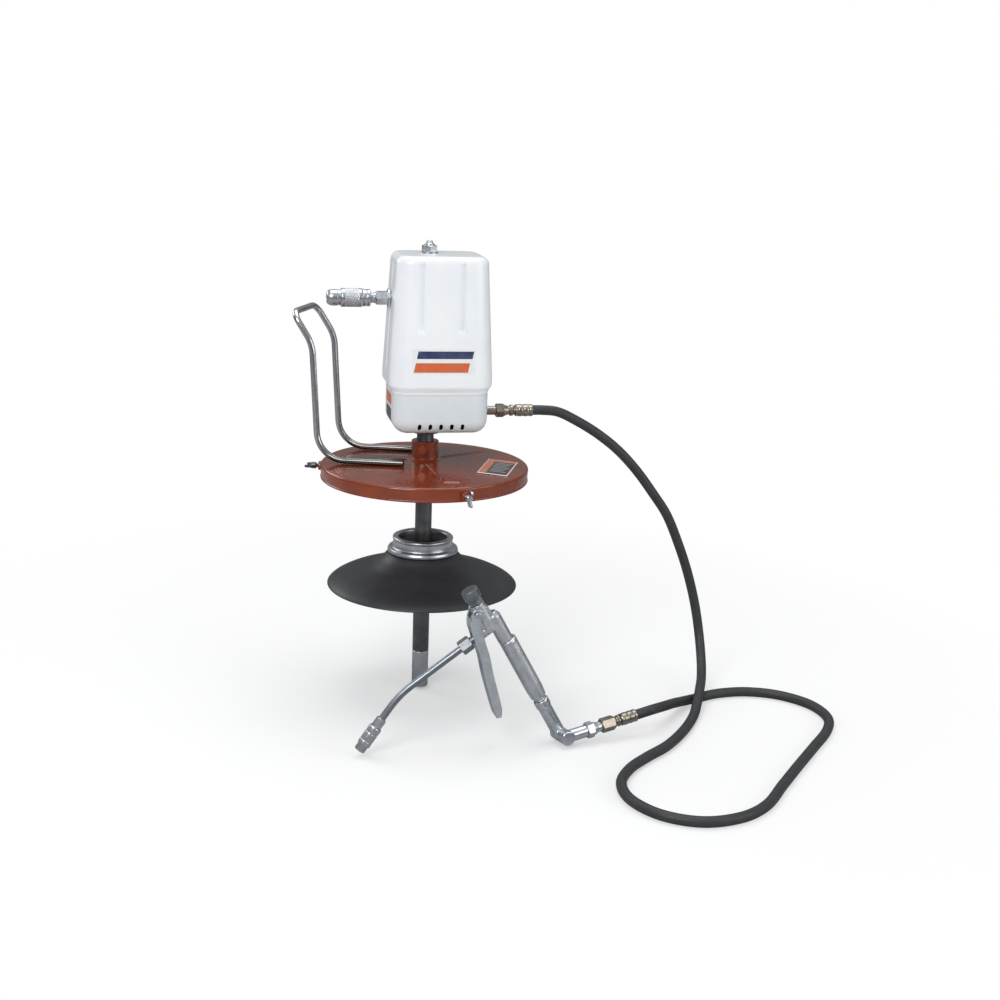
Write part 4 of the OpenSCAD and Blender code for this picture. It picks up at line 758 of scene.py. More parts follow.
def slab(outline, low, high, place=np.eye(4)):
    """A flat outline drawn up from low to high."""
    p = np.asarray(outline, float)
    n = len(p)
    verts = np.vstack([np.column_stack([p, np.full(n, low)]), np.column_stack([p, np.full(n, high)])])
    faces = [list(range(n))[::-1], list(range(n, 2 * n))]
    faces += [[k, (k + 1) % n, n + (k + 1) % n, n + k] for k in range(n)]
    return placed((verts, faces), place)


def disc(radius, n=48):
    """A circle as a flat outline."""
    t = angles(n)[0]
    return radius * np.stack([np.cos(t), np.sin(t)], -1)


def arch(width, height, steps=12):
    """An upright slot with a round top and bottom."""
    a = np.linspace(0, np.pi, steps)
    top = np.stack([width / 2 * np.cos(a), (height - width) / 2 + width / 2 * np.sin(a)], -1)
    return np.vstack([top, -top])


# %% Lower housing
PAN_FLOOR, PAN_TOP, PAN_ROUND, PAN_WALL = 60.0, 119.7, 20.0, 2.6
PAN_W, PAN_D, PAN_CORNER = 142.0, 122.0, 24.0
HUB_HOLE_R, OUTLET_HOLE_R = 22.4, 13.0
SLOT_W, SLOT_H, SLOT_PITCH, SLOT_X, SLOT_Z = 5.6, 9.4, 16.0, SHELL_X - 1.0, 71.5
FRONT_CUT, OUTLET_CUT = (30, 80), (70, 110)

turn_in = np.radians(np.linspace(0, 90, 16))
upright = np.linspace(PAN_FLOOR + PAN_ROUND + 2, PAN_TOP, 16)
pan_heights = np.concatenate([PAN_FLOOR + PAN_ROUND * (1 - np.cos(turn_in)), upright])
pan_inset = np.concatenate([PAN_ROUND * (1 - np.sin(turn_in)), 0 * upright])


def pan_wall(inwards, heights):
    """The pan's plan at each height, moved inwards by its wall."""
    moved = pan_inset + inwards
    corner = np.maximum(PAN_CORNER - moved, 1.0)
    return at_heights(plan(PAN_W - 2 * moved, PAN_D - 2 * moved, corner, 40, 14), heights)


outside = pan_wall(0.0, pan_heights)
inside = pan_wall(PAN_WALL, np.maximum(pan_heights, PAN_FLOOR + PAN_WALL))[::-1]
way = np.arctan2(outside[0, :, 1], outside[0, :, 0])
hole = np.stack([HUB_HOLE_R * np.cos(way) - SHELL_X, HUB_HOLE_R * np.sin(way), 0 * way + PAN_FLOOR], -1)
pan = np.concatenate([outside, inside, [hole + [0, 0, PAN_WALL]], [hole]])
lower = piece("lower_shell", [placed(skin(pan, ring=True), shift(SHELL_X, 0, 0))], PAN_PAINT, "pump",
              ["lower_housing"], crease=50)
front_up = turn_about("x", 90)
slots = [slab(arch(SLOT_W, SLOT_H), *FRONT_CUT, shift(SLOT_X + SLOT_PITCH * k, 0, SLOT_Z) @ front_up)
         for k in range(-2, 3)]
carve(lower, [*slots, slab(disc(OUTLET_HOLE_R), *OUTLET_CUT, pump_outlet)])
print("slots cut:", len(slots))

# %% [markdown]
# ## The pail cover
# The cover is pressed from sheet: a shallow cone that rises to the hub, with a stiff
# ridge towards each clamping screw, a rolled edge and a skirt with a bead. All of it is
# one closed profile that goes round the axis, and the ridges are added to the height.

# %% Ridges
SCREW_TURNS = {"left": 180.0, "front": -60.0, "back": 60.0}
CONE_TOP, CONE_FALL, CONE_IN, CONE_OUT = 9.6, 6.0, 28.0, 145.0
RIDGE_H, RIDGE_IN, RIDGE_OUT, RIDGE_NEAR, RIDGE_FAR = 2.4, 24.0, 128.0, 10.0, 21.0


def cone_height(r):
    """Height of the pail cover at a radius: it falls evenly along its cone and is level outside it."""
    return CONE_TOP - CONE_FALL * np.clip((r - CONE_IN) / (CONE_OUT - CONE_IN), 0, 1)


def ridge(a, r):
    """Full height between two edges that spread from 10 to 21 mm half width on the way out."""
    total = 0
    for turn_deg in SCREW_TURNS.values():
        off = (a - math.radians(turn_deg) + np.pi) % (2 * np.pi) - np.pi
        near, side = r * np.cos(off), np.abs(r * np.sin(off))
        share = np.clip((near - RIDGE_IN) / (RIDGE_OUT - RIDGE_IN), 0, 1)
        half = RIDGE_NEAR + (RIDGE_FAR - RIDGE_NEAR) * share
        end = RIDGE_OUT + 8 * (1 - side / RIDGE_FAR)
        across = 1 - step(side, half - 1.2, half + 1.2)
        total = total + across * band(near, RIDGE_IN - 3, end, 15, 3)
    return RIDGE_H * total


# %% Profile of the cover
SHEET, HUB_R, HUB_BORE_R, HUB_TOP = 1.6, 20.5, 12.8, 40.0
FOOT_R, FLAT_R, RIM_R, EDGE_R, BEAD_R, BEAD_Z = 22.5, 152.0, 157.5, 4.0, 1.8, -16.4


def cover_line(sheet):
    """Rows from the hub's foot out to the edge, moved down by the sheet."""
    r = np.concatenate([np.linspace(FOOT_R, CONE_IN, 6), np.linspace(CONE_IN + 1, CONE_OUT, 90),
                        np.linspace(CONE_OUT + 1, FLAT_R, 5)])
    foot = 3.0 * np.clip((CONE_IN - r) / (CONE_IN - FOOT_R), 0, 1) ** 2
    return np.stack([r, cone_height(r) + foot - sheet], -1)


def edge_arc(centre_r, centre_z, radius, from_deg, to_deg, n=8):
    """Points of an arc in the profile's plane."""
    a = np.radians(np.linspace(from_deg, to_deg, n))
    return np.stack([centre_r + radius * np.cos(a), centre_z + radius * np.sin(a)], -1)


hub_outer = soften([(HUB_BORE_R, HUB_TOP), (HUB_R, HUB_TOP), (HUB_R, 13.2), (22.0, 12.8)], 1.2)
edge = edge_arc(RIM_R - EDGE_R, -0.4, EDGE_R, 90, 0)
bead = edge_arc(RIM_R - BEAD_R, BEAD_Z, BEAD_R, 60, -180, 14)
inner_side = np.array([(155.9, -14), (155.9, -1.6), (154.6, 1.0), (152, 2.0)])
bore = np.array([(19.5, 8), (13, 2.5), (HUB_BORE_R, 3.5)])
lid_profile = np.vstack([hub_outer, cover_line(0), edge, bead, inner_side, cover_line(SHEET)[::-1][1:], bore])
a, r, z = angles(420), lid_profile[:, :1], lid_profile[:, 1:]
ridged = (r > FOOT_R - 0.5) & (r < CONE_OUT + 1) & (z > 0)
lid_grid = around_axis(r, a, z + np.where(ridged, ridge(a, r), 0))
piece("pail_lid", [placed(skin(lid_grid, ring=True), lid)], ORANGE_PAINT, "pump", ["pail_cover"],
      crease=42)

# %% [markdown]
# ## Clamping screws
# Three thumbscrews hold the cover on the pail. Each runs through a nut that is welded to
# the skirt. The thread is a real spiral: the radius depends on the turn and on the
# distance along the screw together.

# %% Thread and wing
SCREW_Z = -9.0


def threaded(low, high, diameter, pitch, place, around=32, per_pitch=8):
    """Radius = d/2 - 0.09 d |saw(z / pitch - a / 2 pi)|, a V groove that winds round and ends thin."""
    z = np.linspace(low, high, int((high - low) / pitch * per_pitch))[:, None]
    a = angles(around)
    saw = np.abs(((z / pitch - a / (2 * np.pi)) % 1) * 2 - 1)
    r = diameter / 2 - 0.09 * diameter * saw - 0.10 * diameter * (1 - band(z, low, high, pitch, pitch))
    return placed(skin(around_axis(r, a, z)), place)


def wing(side):
    """One wing of the head, as an outline in the plane of the screw."""
    p = np.array([(0.5, 1.5), (-3.5, 3.2), (-1.5, 9.0), (1.0, 11.5), (5.0, 12.0), (9.5, 11.4), (12.0, 9.2),
                  (11.5, 7.0), (7.0, 5.6), (4.4, 2.2)])
    return p * (1, side)


def at_screw(label):
    """X runs outwards over a screw, through the skirt."""
    return lid @ turn_about("z", SCREW_TURNS[label]) @ shift(0, 0, SCREW_Z)


# %% Thumbscrews
SCREW_D, SCREW_PITCH, SCREW_IN, SCREW_L, WING_THICK = 6.0, 1.0, 6.0, 24.0, 3.0
out_x = turn_about("y", 90)
start, head = RIM_R - SCREW_IN, RIM_R - SCREW_IN + SCREW_L
head_line = [(0, head - 8.5), (4.2, head - 8.5), (5.0, head - 7.5), (5.0, head - 1), (4.0, head), (0, head)]
SCREW_LOOKS = {"left": (0, DARK_STEEL, "dark_steel"), "front": (90, ZINC, "bare_zinc"),
               "back": (0, ZINC, "bare_zinc")}
for label, (wing_turn, look, slot_name) in SCREW_LOOKS.items():
    spot = at_screw(label) @ out_x
    flat = at_screw(label) @ shift(head - 4, 0, 0) @ turn_about("x", wing_turn)
    wings = [slab(wing(side)[::side], -WING_THICK / 2, WING_THICK / 2, flat) for side in (1, -1)]
    thread = threaded(start, head - 8, SCREW_D, SCREW_PITCH, spot)
    piece("thumbscrew_" + label + "_looks", [thread, lathe(head_line, spot), *wings], look,
          "screw_" + label, ["thumbscrew_" + label], bevel=0.7)

boss_line = [(3.1, 156.6), (6.2, 156.6), (7.0, 157.4), (7.0, 162.7), (6.2, 163.5), (3.1, 163.5)]
bosses = [lathe(boss_line, at_screw(label) @ out_x, ring=True) for label in SCREW_TURNS]
piece("screw_bosses", bosses, ORANGE_PAINT, "pump", ["weld_nuts"])

# %% [markdown]
# ## The carrying handle
# The handle is one chromed rod, bent six times. A bend is a piece of a circle between two
# straight runs, so the line is worked out corner by corner and a ring is carried along it.

# %% Bent rod


def bent_line(points, radii, steps=14):
    """Each inner corner P becomes an arc of the given radius that touches both runs."""
    p = np.asarray(points, float)
    rows = [p[:1]]
    for k in range(1, len(p) - 1):
        before, after = unit(p[k] - p[k - 1]), unit(p[k + 1] - p[k])
        bend = math.acos(float(before @ after))
        middle = p[k] + unit(after - before) * radii[k] / math.cos(bend / 2)
        out = unit(p[k] - radii[k] * math.tan(bend / 2) * before - middle)
        t = np.linspace(0, bend, steps)[:, None]
        rows.append(middle + radii[k] * (np.cos(t) * out + np.sin(t) * before))
    rows.append(p[-1:])
    return np.vstack(rows)


def round_ends(line, radius, back=1.6):
    """The rod's radius at each point: it closes over the last bit at both ends."""
    far = travelled(line)
    gap = np.minimum(far, far[-1] - far)
    return radius * np.sqrt(np.clip(1 - (1 - np.clip(gap / back, 0, 1)) ** 2, 0.02, 1))


def finer_ends(line, ends=(0.15, 0.4, 0.8, 1.2, 1.6)):
    """Adds points close to both ends of a line, where a rod rounds off."""
    first, last = unit(line[1] - line[0]), unit(line[-2] - line[-1])
    return np.vstack([line[:1], [line[0] + d * first for d in ends], line[1:-1],
                      [line[-1] + d * last for d in ends[::-1]], line[-1:]])


# %% [markdown]
# The two arms lie on the cover, so the heights of their ends are read from its cone. The
# far arm is the near one in reverse order, on the other side.

# %% Carrying handle
ROD, ARM_Y, HANDLE_TURN, ROD_GAP = 9.5, 52.0, -6.5, 0.2
HANDLE_BENDS = (0, 42, 60, 18, 18, 60, 42, 0)
arm_z, foot_z = (cone_height(r) + ROD / 2 + ROD_GAP for r in (ARM_Y, CONE_OUT))
one_arm = [(-18, arm_z), (-152, foot_z), (-162, 182), (-192, 228)]
handle_points = [(x, -ARM_Y, z) for x, z in one_arm] + [(x, ARM_Y, z) for x, z in one_arm[::-1]]
handle_line = finer_ends(bent_line(handle_points, HANDLE_BENDS))
handle_rod = tube(handle_line, round_ends(handle_line, ROD / 2), 32, lid @ turn_about("z", HANDLE_TURN))
piece("carrying_handle", [handle_rod], HANDLE_CHROME, "pump", ["bail_handle"], crease=60)

# %% [markdown]
# ## Follower, collar and wiper
# The follower plate is a rubber bell that sinks with the grease. A zinc-plated collar is
# clamped in its mouth and holds a wiper that scrapes the pump tube. All three are turned.

# %% Follower
bell = np.array([(37.5, -134), (53, -134), (62, -145), (80, -157), (105, -164.5), (125, -171.5), (138, -178),
                 (144, -182.6), (146.4, -185.4), (145.4, -187), (143.0, -187), (136, -182.6), (123, -175.5),
                 (104, -168.8), (79, -161.4), (60.5, -149.2), (51.5, -138), (37.5, -138)])
turned("follower_plate", bell, RUBBER, "follower", "follower_bell", "black_rubber", crease=60,
       radius=6, around=160)
collar = [(37.5, -134), (54, -134), (54.4, -131), (53, -127.4), (48, -127), (46.6, -125.6), (45.8, -121),
          (45.7, -115.2), (46.5, -113.6), (46.5, -111.6), (45, -110), (39.6, -110), (37.5, -111.4)]
turned("collar_ring", collar, ZINC, "follower", "follower_collar", "cast_aluminium", crease=60,
       radius=0.9, around=120)
wiper = [(12.8, -136), (12.8, -142), (18.8, -142), (37.5, -138), (37.5, -131.6), (31, -129), (21, -133),
         (16, -136)]
turned("wiper_ring", wiper, RUBBER, "follower", "tube_wiper", "black_rubber", radius=1.0, around=96)

# %% [markdown]
# ## Pump tube and foot valve
# The tube is drawn steel, dark with oil. The foot valve screws into its end: bright, with
# two windows one above the other on each side, through which the primer takes in grease.

# %% Tube and foot
pipe_wall = [(11, -296), (12.7, -296), (12.7, -295.2), (12.45, -294.8), (12.45, -293.8), (12.7, -293.4),
             (12.7, 76), (9.5, 76), (9.5, -258), (11, -258)]
turned("pump_pipe", pipe_wall, DARK_STEEL, "pump", "pump_tube", "dark_steel", radius=0.3, around=96)
foot_wall = [(9.5, -355), (11.6, -355), (12.7, -353.8), (12.7, -297.2), (11.8, -296), (11, -296), (11, -258),
             (6, -258), (6, -266), (9.5, -266)]
foot = turned("foot_strainer", foot_wall, BARE_STEEL, "pump", "foot_valve", "bare_zinc",
              radius=0.3, around=96)
WINDOW_W, WINDOW_H, WINDOW_Z, WINDOW_CUT = 9.0, 14.0, (-317, -337), (-30, 30)
carve(foot, [slab(arch(WINDOW_W, WINDOW_H), *WINDOW_CUT, shift(0, 0, h) @ turn_about("z", 90) @ front_up)
             for h in WINDOW_Z])
neck = [(9.5, 53), (22.2, 53), (23, 53.8), (23, 59.2), (22, 60), (22, 99.9), (8.5, 99.9)]
arm = [(4, 16), (12.6, 16), (12.6, 79.4), (12, 80), (6.8, 80), (6.8, 68), (4, 68)]
neck_shells = [lathe(neck, radius=0.8, ring=True), lathe(arm, pump_outlet, radius=0.5, ring=True)]
piece("neck_casting", neck_shells, IRON, "pump", ["outlet_body"])

# %% [markdown]
# ## Top nut and air inlet
# The stud that holds the cover ends in a washer and a nut. At the left a flanged union, a
# nipple and a quick coupler bring in the air. The coupler's sleeve is knurled, and the
# knurl is real: two sets of grooves cross in its radius.

# %% Nut and inlet
washer = [(5, 320.2), (13.5, 320.2), (13.5, 322), (5, 322)]
dome = [(0, 331), (7.4, 331), (7.4, 333.2), (6.4, 334.6), (4.6, 335.4), (4.6, 337.6), (3.6, 339), (0, 339)]
nut_shells = [lathe(washer, ring=True), prism(21.0, 322, 332, np.eye(4), bore=10.0), lathe(dome, radius=0.7)]
piece("top_nut", nut_shells, ZINC, "pump", ["cap_nut"])
flange = [(4, -2), (6.6, -2), (6.6, 0.2), (13.4, 0.2), (14, 0.8), (14, 2.4), (13.2, 3), (9, 3.4), (9, 3),
          (4, 3)]
union_shells = [lathe(flange, air_inlet, ring=True), prism(19.0, 3, 20, air_inlet, bore=8.0),
                lathe([(4, -22), (6.5, -22), (6.5, 0), (4, 0)], air_inlet, ring=True)]
piece("inlet_union", union_shells, GUN_ZINC, "pump", ["inlet_fitting"])
nipple_line = [(4, 20), (7.0, 20), (7.8, 20.8), (7.8, 23), (6.9, 23.6), (6.9, 25), (7.8, 25.6), (7.8, 27.4),
               (7, 28), (6, 28), (6, 60), (4, 60)]
turned("nipple", nipple_line, ZINC, "pump", "air_nipple", "bare_zinc", air_inlet)

# %% Marks on a turned wall


def diamonds(a, z, grooves, lean):
    """|sin(n a / 2 + lean z)| |sin(n a / 2 - lean z)|: two sets of n grooves that lean both ways."""
    half = grooves / 2
    return np.abs(np.sin(half * a + lean * z)) * np.abs(np.sin(half * a - lean * z))


def straight(r, low, high, rows):
    """Many rows up one straight wall, so that marks can be cut into it."""
    z = np.linspace(low, high, rows)
    return np.stack([r + 0 * z, z], -1)


# %% Quick coupler
KNURL_LOW, KNURL_HIGH, KNURL_DEEP = 45.5, 66.5, 0.75
core = [(6.05, 28.3), (11.6, 28.3), (12.7, 29.3), (12.7, 33), (12.1, 33.6), (12.1, 35), (12.7, 35.6),
        (12.7, 40.0), (11.35, 40.4), (11.35, 76.4), (11.6, 76.6), (12.0, 77.2), (12.0, 84), (11.4, 87.5),
        (9.6, 90.8), (7.6, 92.3), (5.9, 92.3), (5.9, 80.3), (4, 80.3), (4, 61), (6.05, 60.3)]
turned("coupler_core", core, ZINC, "air_coupler", "coupler_body", "bare_zinc", air_inlet, radius=0.5)


def knurl(a, r, z):
    """Diamonds of 30 grooves each way, only on the middle of the sleeve's outside."""
    where = (r > 13) * band(z, KNURL_LOW, KNURL_HIGH, 1, 1)
    return -KNURL_DEEP * where * (1 - diamonds(a, z, 30, 1.15))


sleeve = np.vstack([[(11.4, 40.6), (13.0, 40.6), (13.8, 41.4), (13.8, 43.2)], straight(13.75, 44, 68, 70),
                    [(13.8, 68.8), (13.8, 70.6), (13.0, 71.6), (11.4, 71.6)]])
turned("lock_sleeve_looks", sleeve, ZINC, "lock_sleeve", "coupler_sleeve", "bare_zinc", air_inlet, crease=60,
       radius=0, around=180, wave=knurl)

# %% [markdown]
# ## Cast pieces of the swivel and the valve
# A casting has no sharp inner corners. The simplest way to get its fillets is to let
# plain solids run into each other, wrap them in one skin of small voxels, and smooth that
# skin a little.

# %% Casting helper


def cast_piece(name, shells, look, body, stands_for, voxel=0.55, passes=5):
    """Overlapping solids, wrapped in voxels and smoothed, so that fillets form where they meet."""
    obj = piece(name, shells, look, body, stands_for)
    wrap = obj.modifiers.new("one skin", "REMESH")
    wrap.mode, wrap.voxel_size, wrap.use_smooth_shade = "VOXEL", voxel * MM, True
    calm = obj.modifiers.new("fillets", "SMOOTH")
    calm.factor, calm.iterations = 0.5, passes
    return obj


def rod(diameter, low, high, place, radius):
    """A solid round bar with softened ends."""
    return lathe([(0, low), (diameter / 2, low), (diameter / 2, high), (0, high)], place, radius=radius)


# %% Swivel
SPIGOT_D = 11.8
cast_piece("hose_side_casting", [rod(21, 11, 31, swivel, 1.6), rod(18, 2, 33, hose_side, 0.6)], GUN_ZINC,
           "hose_elbow", ["hose_side_elbow"])
hose_nose = [(0, 30), (9.6, 43.5), (10.2, 44.5), (7.4, 52), (7.2, 57.9), (0, 57.9)]
hose_ring = [prism(21.0, 33, 44, hose_side, bore=10.0), lathe(hose_nose, hose_side, radius=0.8),
             rod(SPIGOT_D, 57, 69.4, hose_side, 0.4)]
piece("hose_side_ring", hose_ring, GUN_ZINC, "hose_elbow")
cast_piece("grip_side_casting", [rod(21, -10, 10.7, swivel, 1.6), rod(20, 2, 51, gun, 0.6)], GUN_ZINC,
           "grip_elbow", ["grip_side_elbow"])
grip_nose = [(0, 49), (9.9, 49), (11.25, 52.2), (11.25, 62.2), (10.4, 63.2), (7.3, 63.8), (7.3, 68.6),
             (0, 68.6)]
grip_ring = [lathe(grip_nose, gun, radius=0.8), rod(SPIGOT_D, 68, 80.4, gun, 0.4),
             rod(SPIGOT_D, 10, 30.2, swivel, 0.4)]
piece("grip_side_ring", grip_ring, GUN_ZINC, "grip_elbow")
plug_line = [(6.1, 27.6), (7.5, 27.6), (7.5, 30.4), (6.9, 31), (6.1, 31)]
turned("swivel_plug", plug_line, ZINC, "grip_elbow", "swivel_nut", "bare_zinc", swivel, radius=0.3)

# %% Grip
GRIP_R, MARKS_LOW, MARKS_HIGH, MARKS_DEEP = 12.7, 84.0, 166.0, 0.35


def grip_marks(a, r, z):
    """Fine diamonds of 24 grooves each way, on the part that the hand holds."""
    where = (r > 11) * band(z, MARKS_LOW, MARKS_HIGH, 2, 2)
    return -MARKS_DEEP * where * (1 - diamonds(a, z, 24, 0.9))


grip_profile = np.vstack([[(4.2, 69), (10.6, 69), (11.5, 70.2), (11.5, 71.4), (12.5, 83), (GRIP_R, 90)],
                          straight(GRIP_R, 92, 168, 150), [(GRIP_R, 170.8), (11.6, 172), (4.2, 172)]])
turned("grip_sleeve", grip_profile, CAST, "valve", "grip_tube", "cast_aluminium", gun, crease=50,
       radius=0, around=192, wave=grip_marks)

# %% Valve body
BODY_X = -2.0
body_axis, valve_axis = gun @ shift(BODY_X, 0, 0), gun @ shift(VALVE_X, 0, 0)
body_cone = [(0, 210), (11, 213.6), (7, 221), (0, 221)]
block = [(-25, 206), (-1, 206), (-1, 231), (-8, 238), (-20.5, 238), (-25, 234.5)]
valve_shells = [rod(22, 172.2, 214, body_axis, 1.2), lathe(body_cone, body_axis, radius=1.5),
                rod(21, 197, 242.8, valve_axis, 0.8), slab(block, -8, 8, gun @ front_up),
                rod(16, -2, 18.8, gun_outlet, 0.8)]
cast_piece("valve_casting", valve_shells, CAST, "valve", ["valve_body"],
           voxel=0.6, passes=4)

# %% Valve cap
CAP_H, CAP_R, CAP_DEEP = 243.0, 12.5, 0.5
cap_place = gun @ shift(VALVE_X, 0, CAP_H)


def cap_knurl(a, r, z):
    """Eighteen straight grooves round the cap."""
    return -CAP_DEEP * (r > 11.5) * band(z, 10, 22.5, 1, 1) * (np.sin(18 * a) > 0.2)


cap_profile = np.vstack([[(0, 8.6), (11.4, 8.6), (12.3, 9.6)], straight(CAP_R, 10.5, 22, 24),
                         [(12.3, 22.9), (11.3, 24), (0, 24)]])
cap_shells = [prism(20.0, 0.1, 9.0, cap_place),
              lathe(cap_profile, cap_place, radius=0, around=216, wave=cap_knurl)]
piece("valve_cap_looks", cap_shells, CAP_STEEL, "valve", ["valve_cap"], crease=40)

# %% [markdown]
# ## The lever
# The lever is a channel of sheet steel: two cheeks and a back. Its half width changes along
# a curved middle line, so each edge is that line moved sideways by the half width.

# %% Lever line
LUG_X, LUG_H = -20.5, 232.0
LEVER_LINE = np.array([(0, 0), (-7, -8), (-11, -16), (-14, -30), (-17, -46), (-19, -58), (-22, -70),
                       (-28, -90), (-33, -111), (-37, -128), (-41, -144), (-45, -154)], float)
LEVER_W = 14.0
HALF_SHARES = np.array([0.5, 0.52, 0.53, 0.52, 0.5, 0.49, 0.48, 0.48, 0.47, 0.46, 0.42, 0.26])
lug = gun @ shift(LUG_X, 0, LUG_H)
lever_mid = smooth_line(np.column_stack([LEVER_LINE, np.zeros(len(LEVER_LINE))]), 6)[:, :2]
lever_place = np.linspace(0, len(HALF_SHARES) - 1, len(lever_mid))
lever_half = np.interp(lever_place, np.arange(len(HALF_SHARES)), LEVER_W * HALF_SHARES)
lever_way = directions(lever_mid)
lever_side = np.stack([-lever_way[:, 1], lever_way[:, 0]], -1)


def lever_edge(inset=0.0, inner=False):
    """The middle line moved by the half width, to the grip's side or away from it."""
    return lever_mid + lever_side * (lever_half - inset)[:, None] * (1 if inner else -1)


# %% Lever
CHEEK_IN, CHEEK_OUT, LEVER_SHEET, BACK_INSET, BACK_HALF, EAR_R = 10.9, 13.3, 2.4, 0.2, 12.0, 8.0


def back(first, last):
    """The sheet between the cheeks, from one place on the line to another."""
    rows = slice(first, last)
    return np.vstack([lever_edge(BACK_INSET)[rows], lever_edge(BACK_INSET + LEVER_SHEET)[rows][::-1]])


cheek = np.vstack([lever_edge(0, True), lever_edge(0)[::-1]])
lever_plane = lug @ front_up
lever = [slab(outline, low, high, lever_plane) for outline in (cheek, disc(EAR_R, 40))
         for low, high in ((CHEEK_IN, CHEEK_OUT), (-CHEEK_OUT, -CHEEK_IN))]
lever += [slab(back(*rows), -BACK_HALF, BACK_HALF, lever_plane) for rows in ((6, 13), (30, 67))]
tongue = np.vstack([lever_edge(1.2)[6:13], [(0, -3.5), (10, 0), (10, 3.5), (0, 3.5)]])
lever.append(slab(tongue, -2.5, 2.5, lever_plane))
cast_piece("lever_looks", lever, GUN_ZINC, "lever", ["trigger_lever"], voxel=0.55, passes=3)
pin = [(0, -17.9), (3.6, -17.9), (4.5, -17.2), (4.5, -16.1), (2.5, -16.1), (2.5, 16.1), (4.5, 16.1),
       (4.5, 17.2), (3.6, 17.9), (0, 17.9)]
piece("lever_rivet", [lathe(pin, lever_plane, radius=0.4)], ZINC, "valve", ["lever_pin"])

# %% [markdown]
# ## Extension pipe and grease coupler
# A nut holds the pipe in the valve. The pipe runs straight and bends once, and the coupler
# at its end grips a grease fitting with jaws in its slotted nose.

# %% Pipe
BEND_R, BEND, PIPE_FOOT, PIPE_RUN, PIPE_R = 130.0, 19.0, 48.0, 88.0, 5.0
bend = math.radians(BEND)
reach = BEND_R * math.tan(bend / 2)
corner_z, last = PIPE_FOOT + PIPE_RUN + reach, reach + 20
pipe_end = (-last * math.sin(bend), 0, corner_z + last * math.cos(bend))
pipe_line = bent_line([(0, 0, PIPE_FOOT), (0, 0, corner_z), pipe_end], (0, BEND_R, 0), 24)
nut_neck = [(2.6, 19.2), (6, 19.2), (6, 33), (8.6, 34), (8.6, 50), (2.6, 50)]
piece("pipe_nut", [prism(19.0, 33, 51, gun_outlet, bore=10.2), lathe(nut_neck, gun_outlet, ring=True)],
      NUT_ZINC, "valve", ["gun_nut"])
piece("spout_pipe", [tube(pipe_line, PIPE_R, 40, gun_outlet, (0, 1, 0))], PIPE_ZINC, "valve",
      ["extension_pipe"], crease=60)

# %% Grease coupler
tip = gun_outlet @ shift(-BEND_R, 0, PIPE_FOOT + PIPE_RUN) @ turn_about("y", -BEND) @ shift(BEND_R, 0, 0)
tip_neck = [(2.5, 19.6), (5.8, 19.6), (6.2, 20.4), (6.2, 33), (2.5, 33)]
piece("tip_collar", [prism(13.0, 20, 34, tip, bore=5.0), lathe(tip_neck, tip, ring=True)], ZINC, "valve",
      ["tip_nut"])
nose = [(6.5, 55.4), (6.5, 75), (7.2, 75), (8, 74), (8, 66), (9.5, 64.6), (9.5, 58.5), (9.0, 58),
        (9.0, 56.6), (9.5, 56), (9.5, 45.5), (9.0, 45), (9.0, 43.6), (9.5, 43), (9.5, 35.6), (8.2, 34),
        (2.5, 34), (2.5, 55.4)]
coupler = turned("coupler_looks", nose, ZINC, "valve", "grease_coupler", "bare_zinc", tip,
                 radius=0.35, around=96)
SLIT_TURNS, SLIT_CUT = (20, 80, 140), (67.5, 80)
slit = [(-12, -0.5), (12, -0.5), (12, 0.5), (-12, 0.5)]
carve(coupler, [slab(slit, *SLIT_CUT, tip @ turn_about("z", t)) for t in SLIT_TURNS])

# %% [markdown]
# ## Plates without words
# The real cover carries printed plates. Here they stay generic: plain bars of colour with
# a pale border. Each is a thin sheet of its own that follows the surface under it, so its
# edge catches the light as that of a real film does.

# %% Plate finish
GREASE_GREY = (0.35, 0.33, 0.30)


def plate_finish(name, place, bars, ground, slant=0.0):
    """Bars of colour on a ground: x = (P - C) . (X - slant Y), y = (P - C) . Y, in the plate's plane."""
    material, tree, shader = new_tree(name)
    centre = {0: here(tree), 1: tuple(place[:3, 3] * MM)}
    away = node(tree, "VectorMath", centre, operation="SUBTRACT").outputs["Vector"]
    axes = []
    for axis in (place[:3, 0] - slant * place[:3, 1], place[:3, 1]):
        dot = node(tree, "VectorMath", {0: away, 1: tuple(axis / MM)}, operation="DOT_PRODUCT")
        axes.append(dot.outputs["Value"])
    x, y = axes
    tone = ground
    for (x0, x1, y0, y1), colour in bars:
        inside = 1.0
        for value, kind, limit in ((x, "GREATER_THAN", x0), (x, "LESS_THAN", x1),
                                   (y, "GREATER_THAN", y0), (y, "LESS_THAN", y1)):
            inside = maths(tree, "MULTIPLY", inside, maths(tree, kind, value, limit))
        tone = blend_colours(tree, inside, tone, colour)
    dull = spread(tree, noise(tree, 0.08, 3), 0.0, 0.12)
    tone = blend_colours(tree, dull, tone, GREASE_GREY)
    tree.links.new(tone, shader.inputs["Base Color"])
    tree.links.new(spread(tree, noise(tree, 0.5, 3), 0.28, 0.40), shader.inputs["Roughness"])
    bump(tree, shader, noise(tree, 0.4, 2), 0.02)
    return material


# %% Plate shape
TOP_SHARE = 0.985


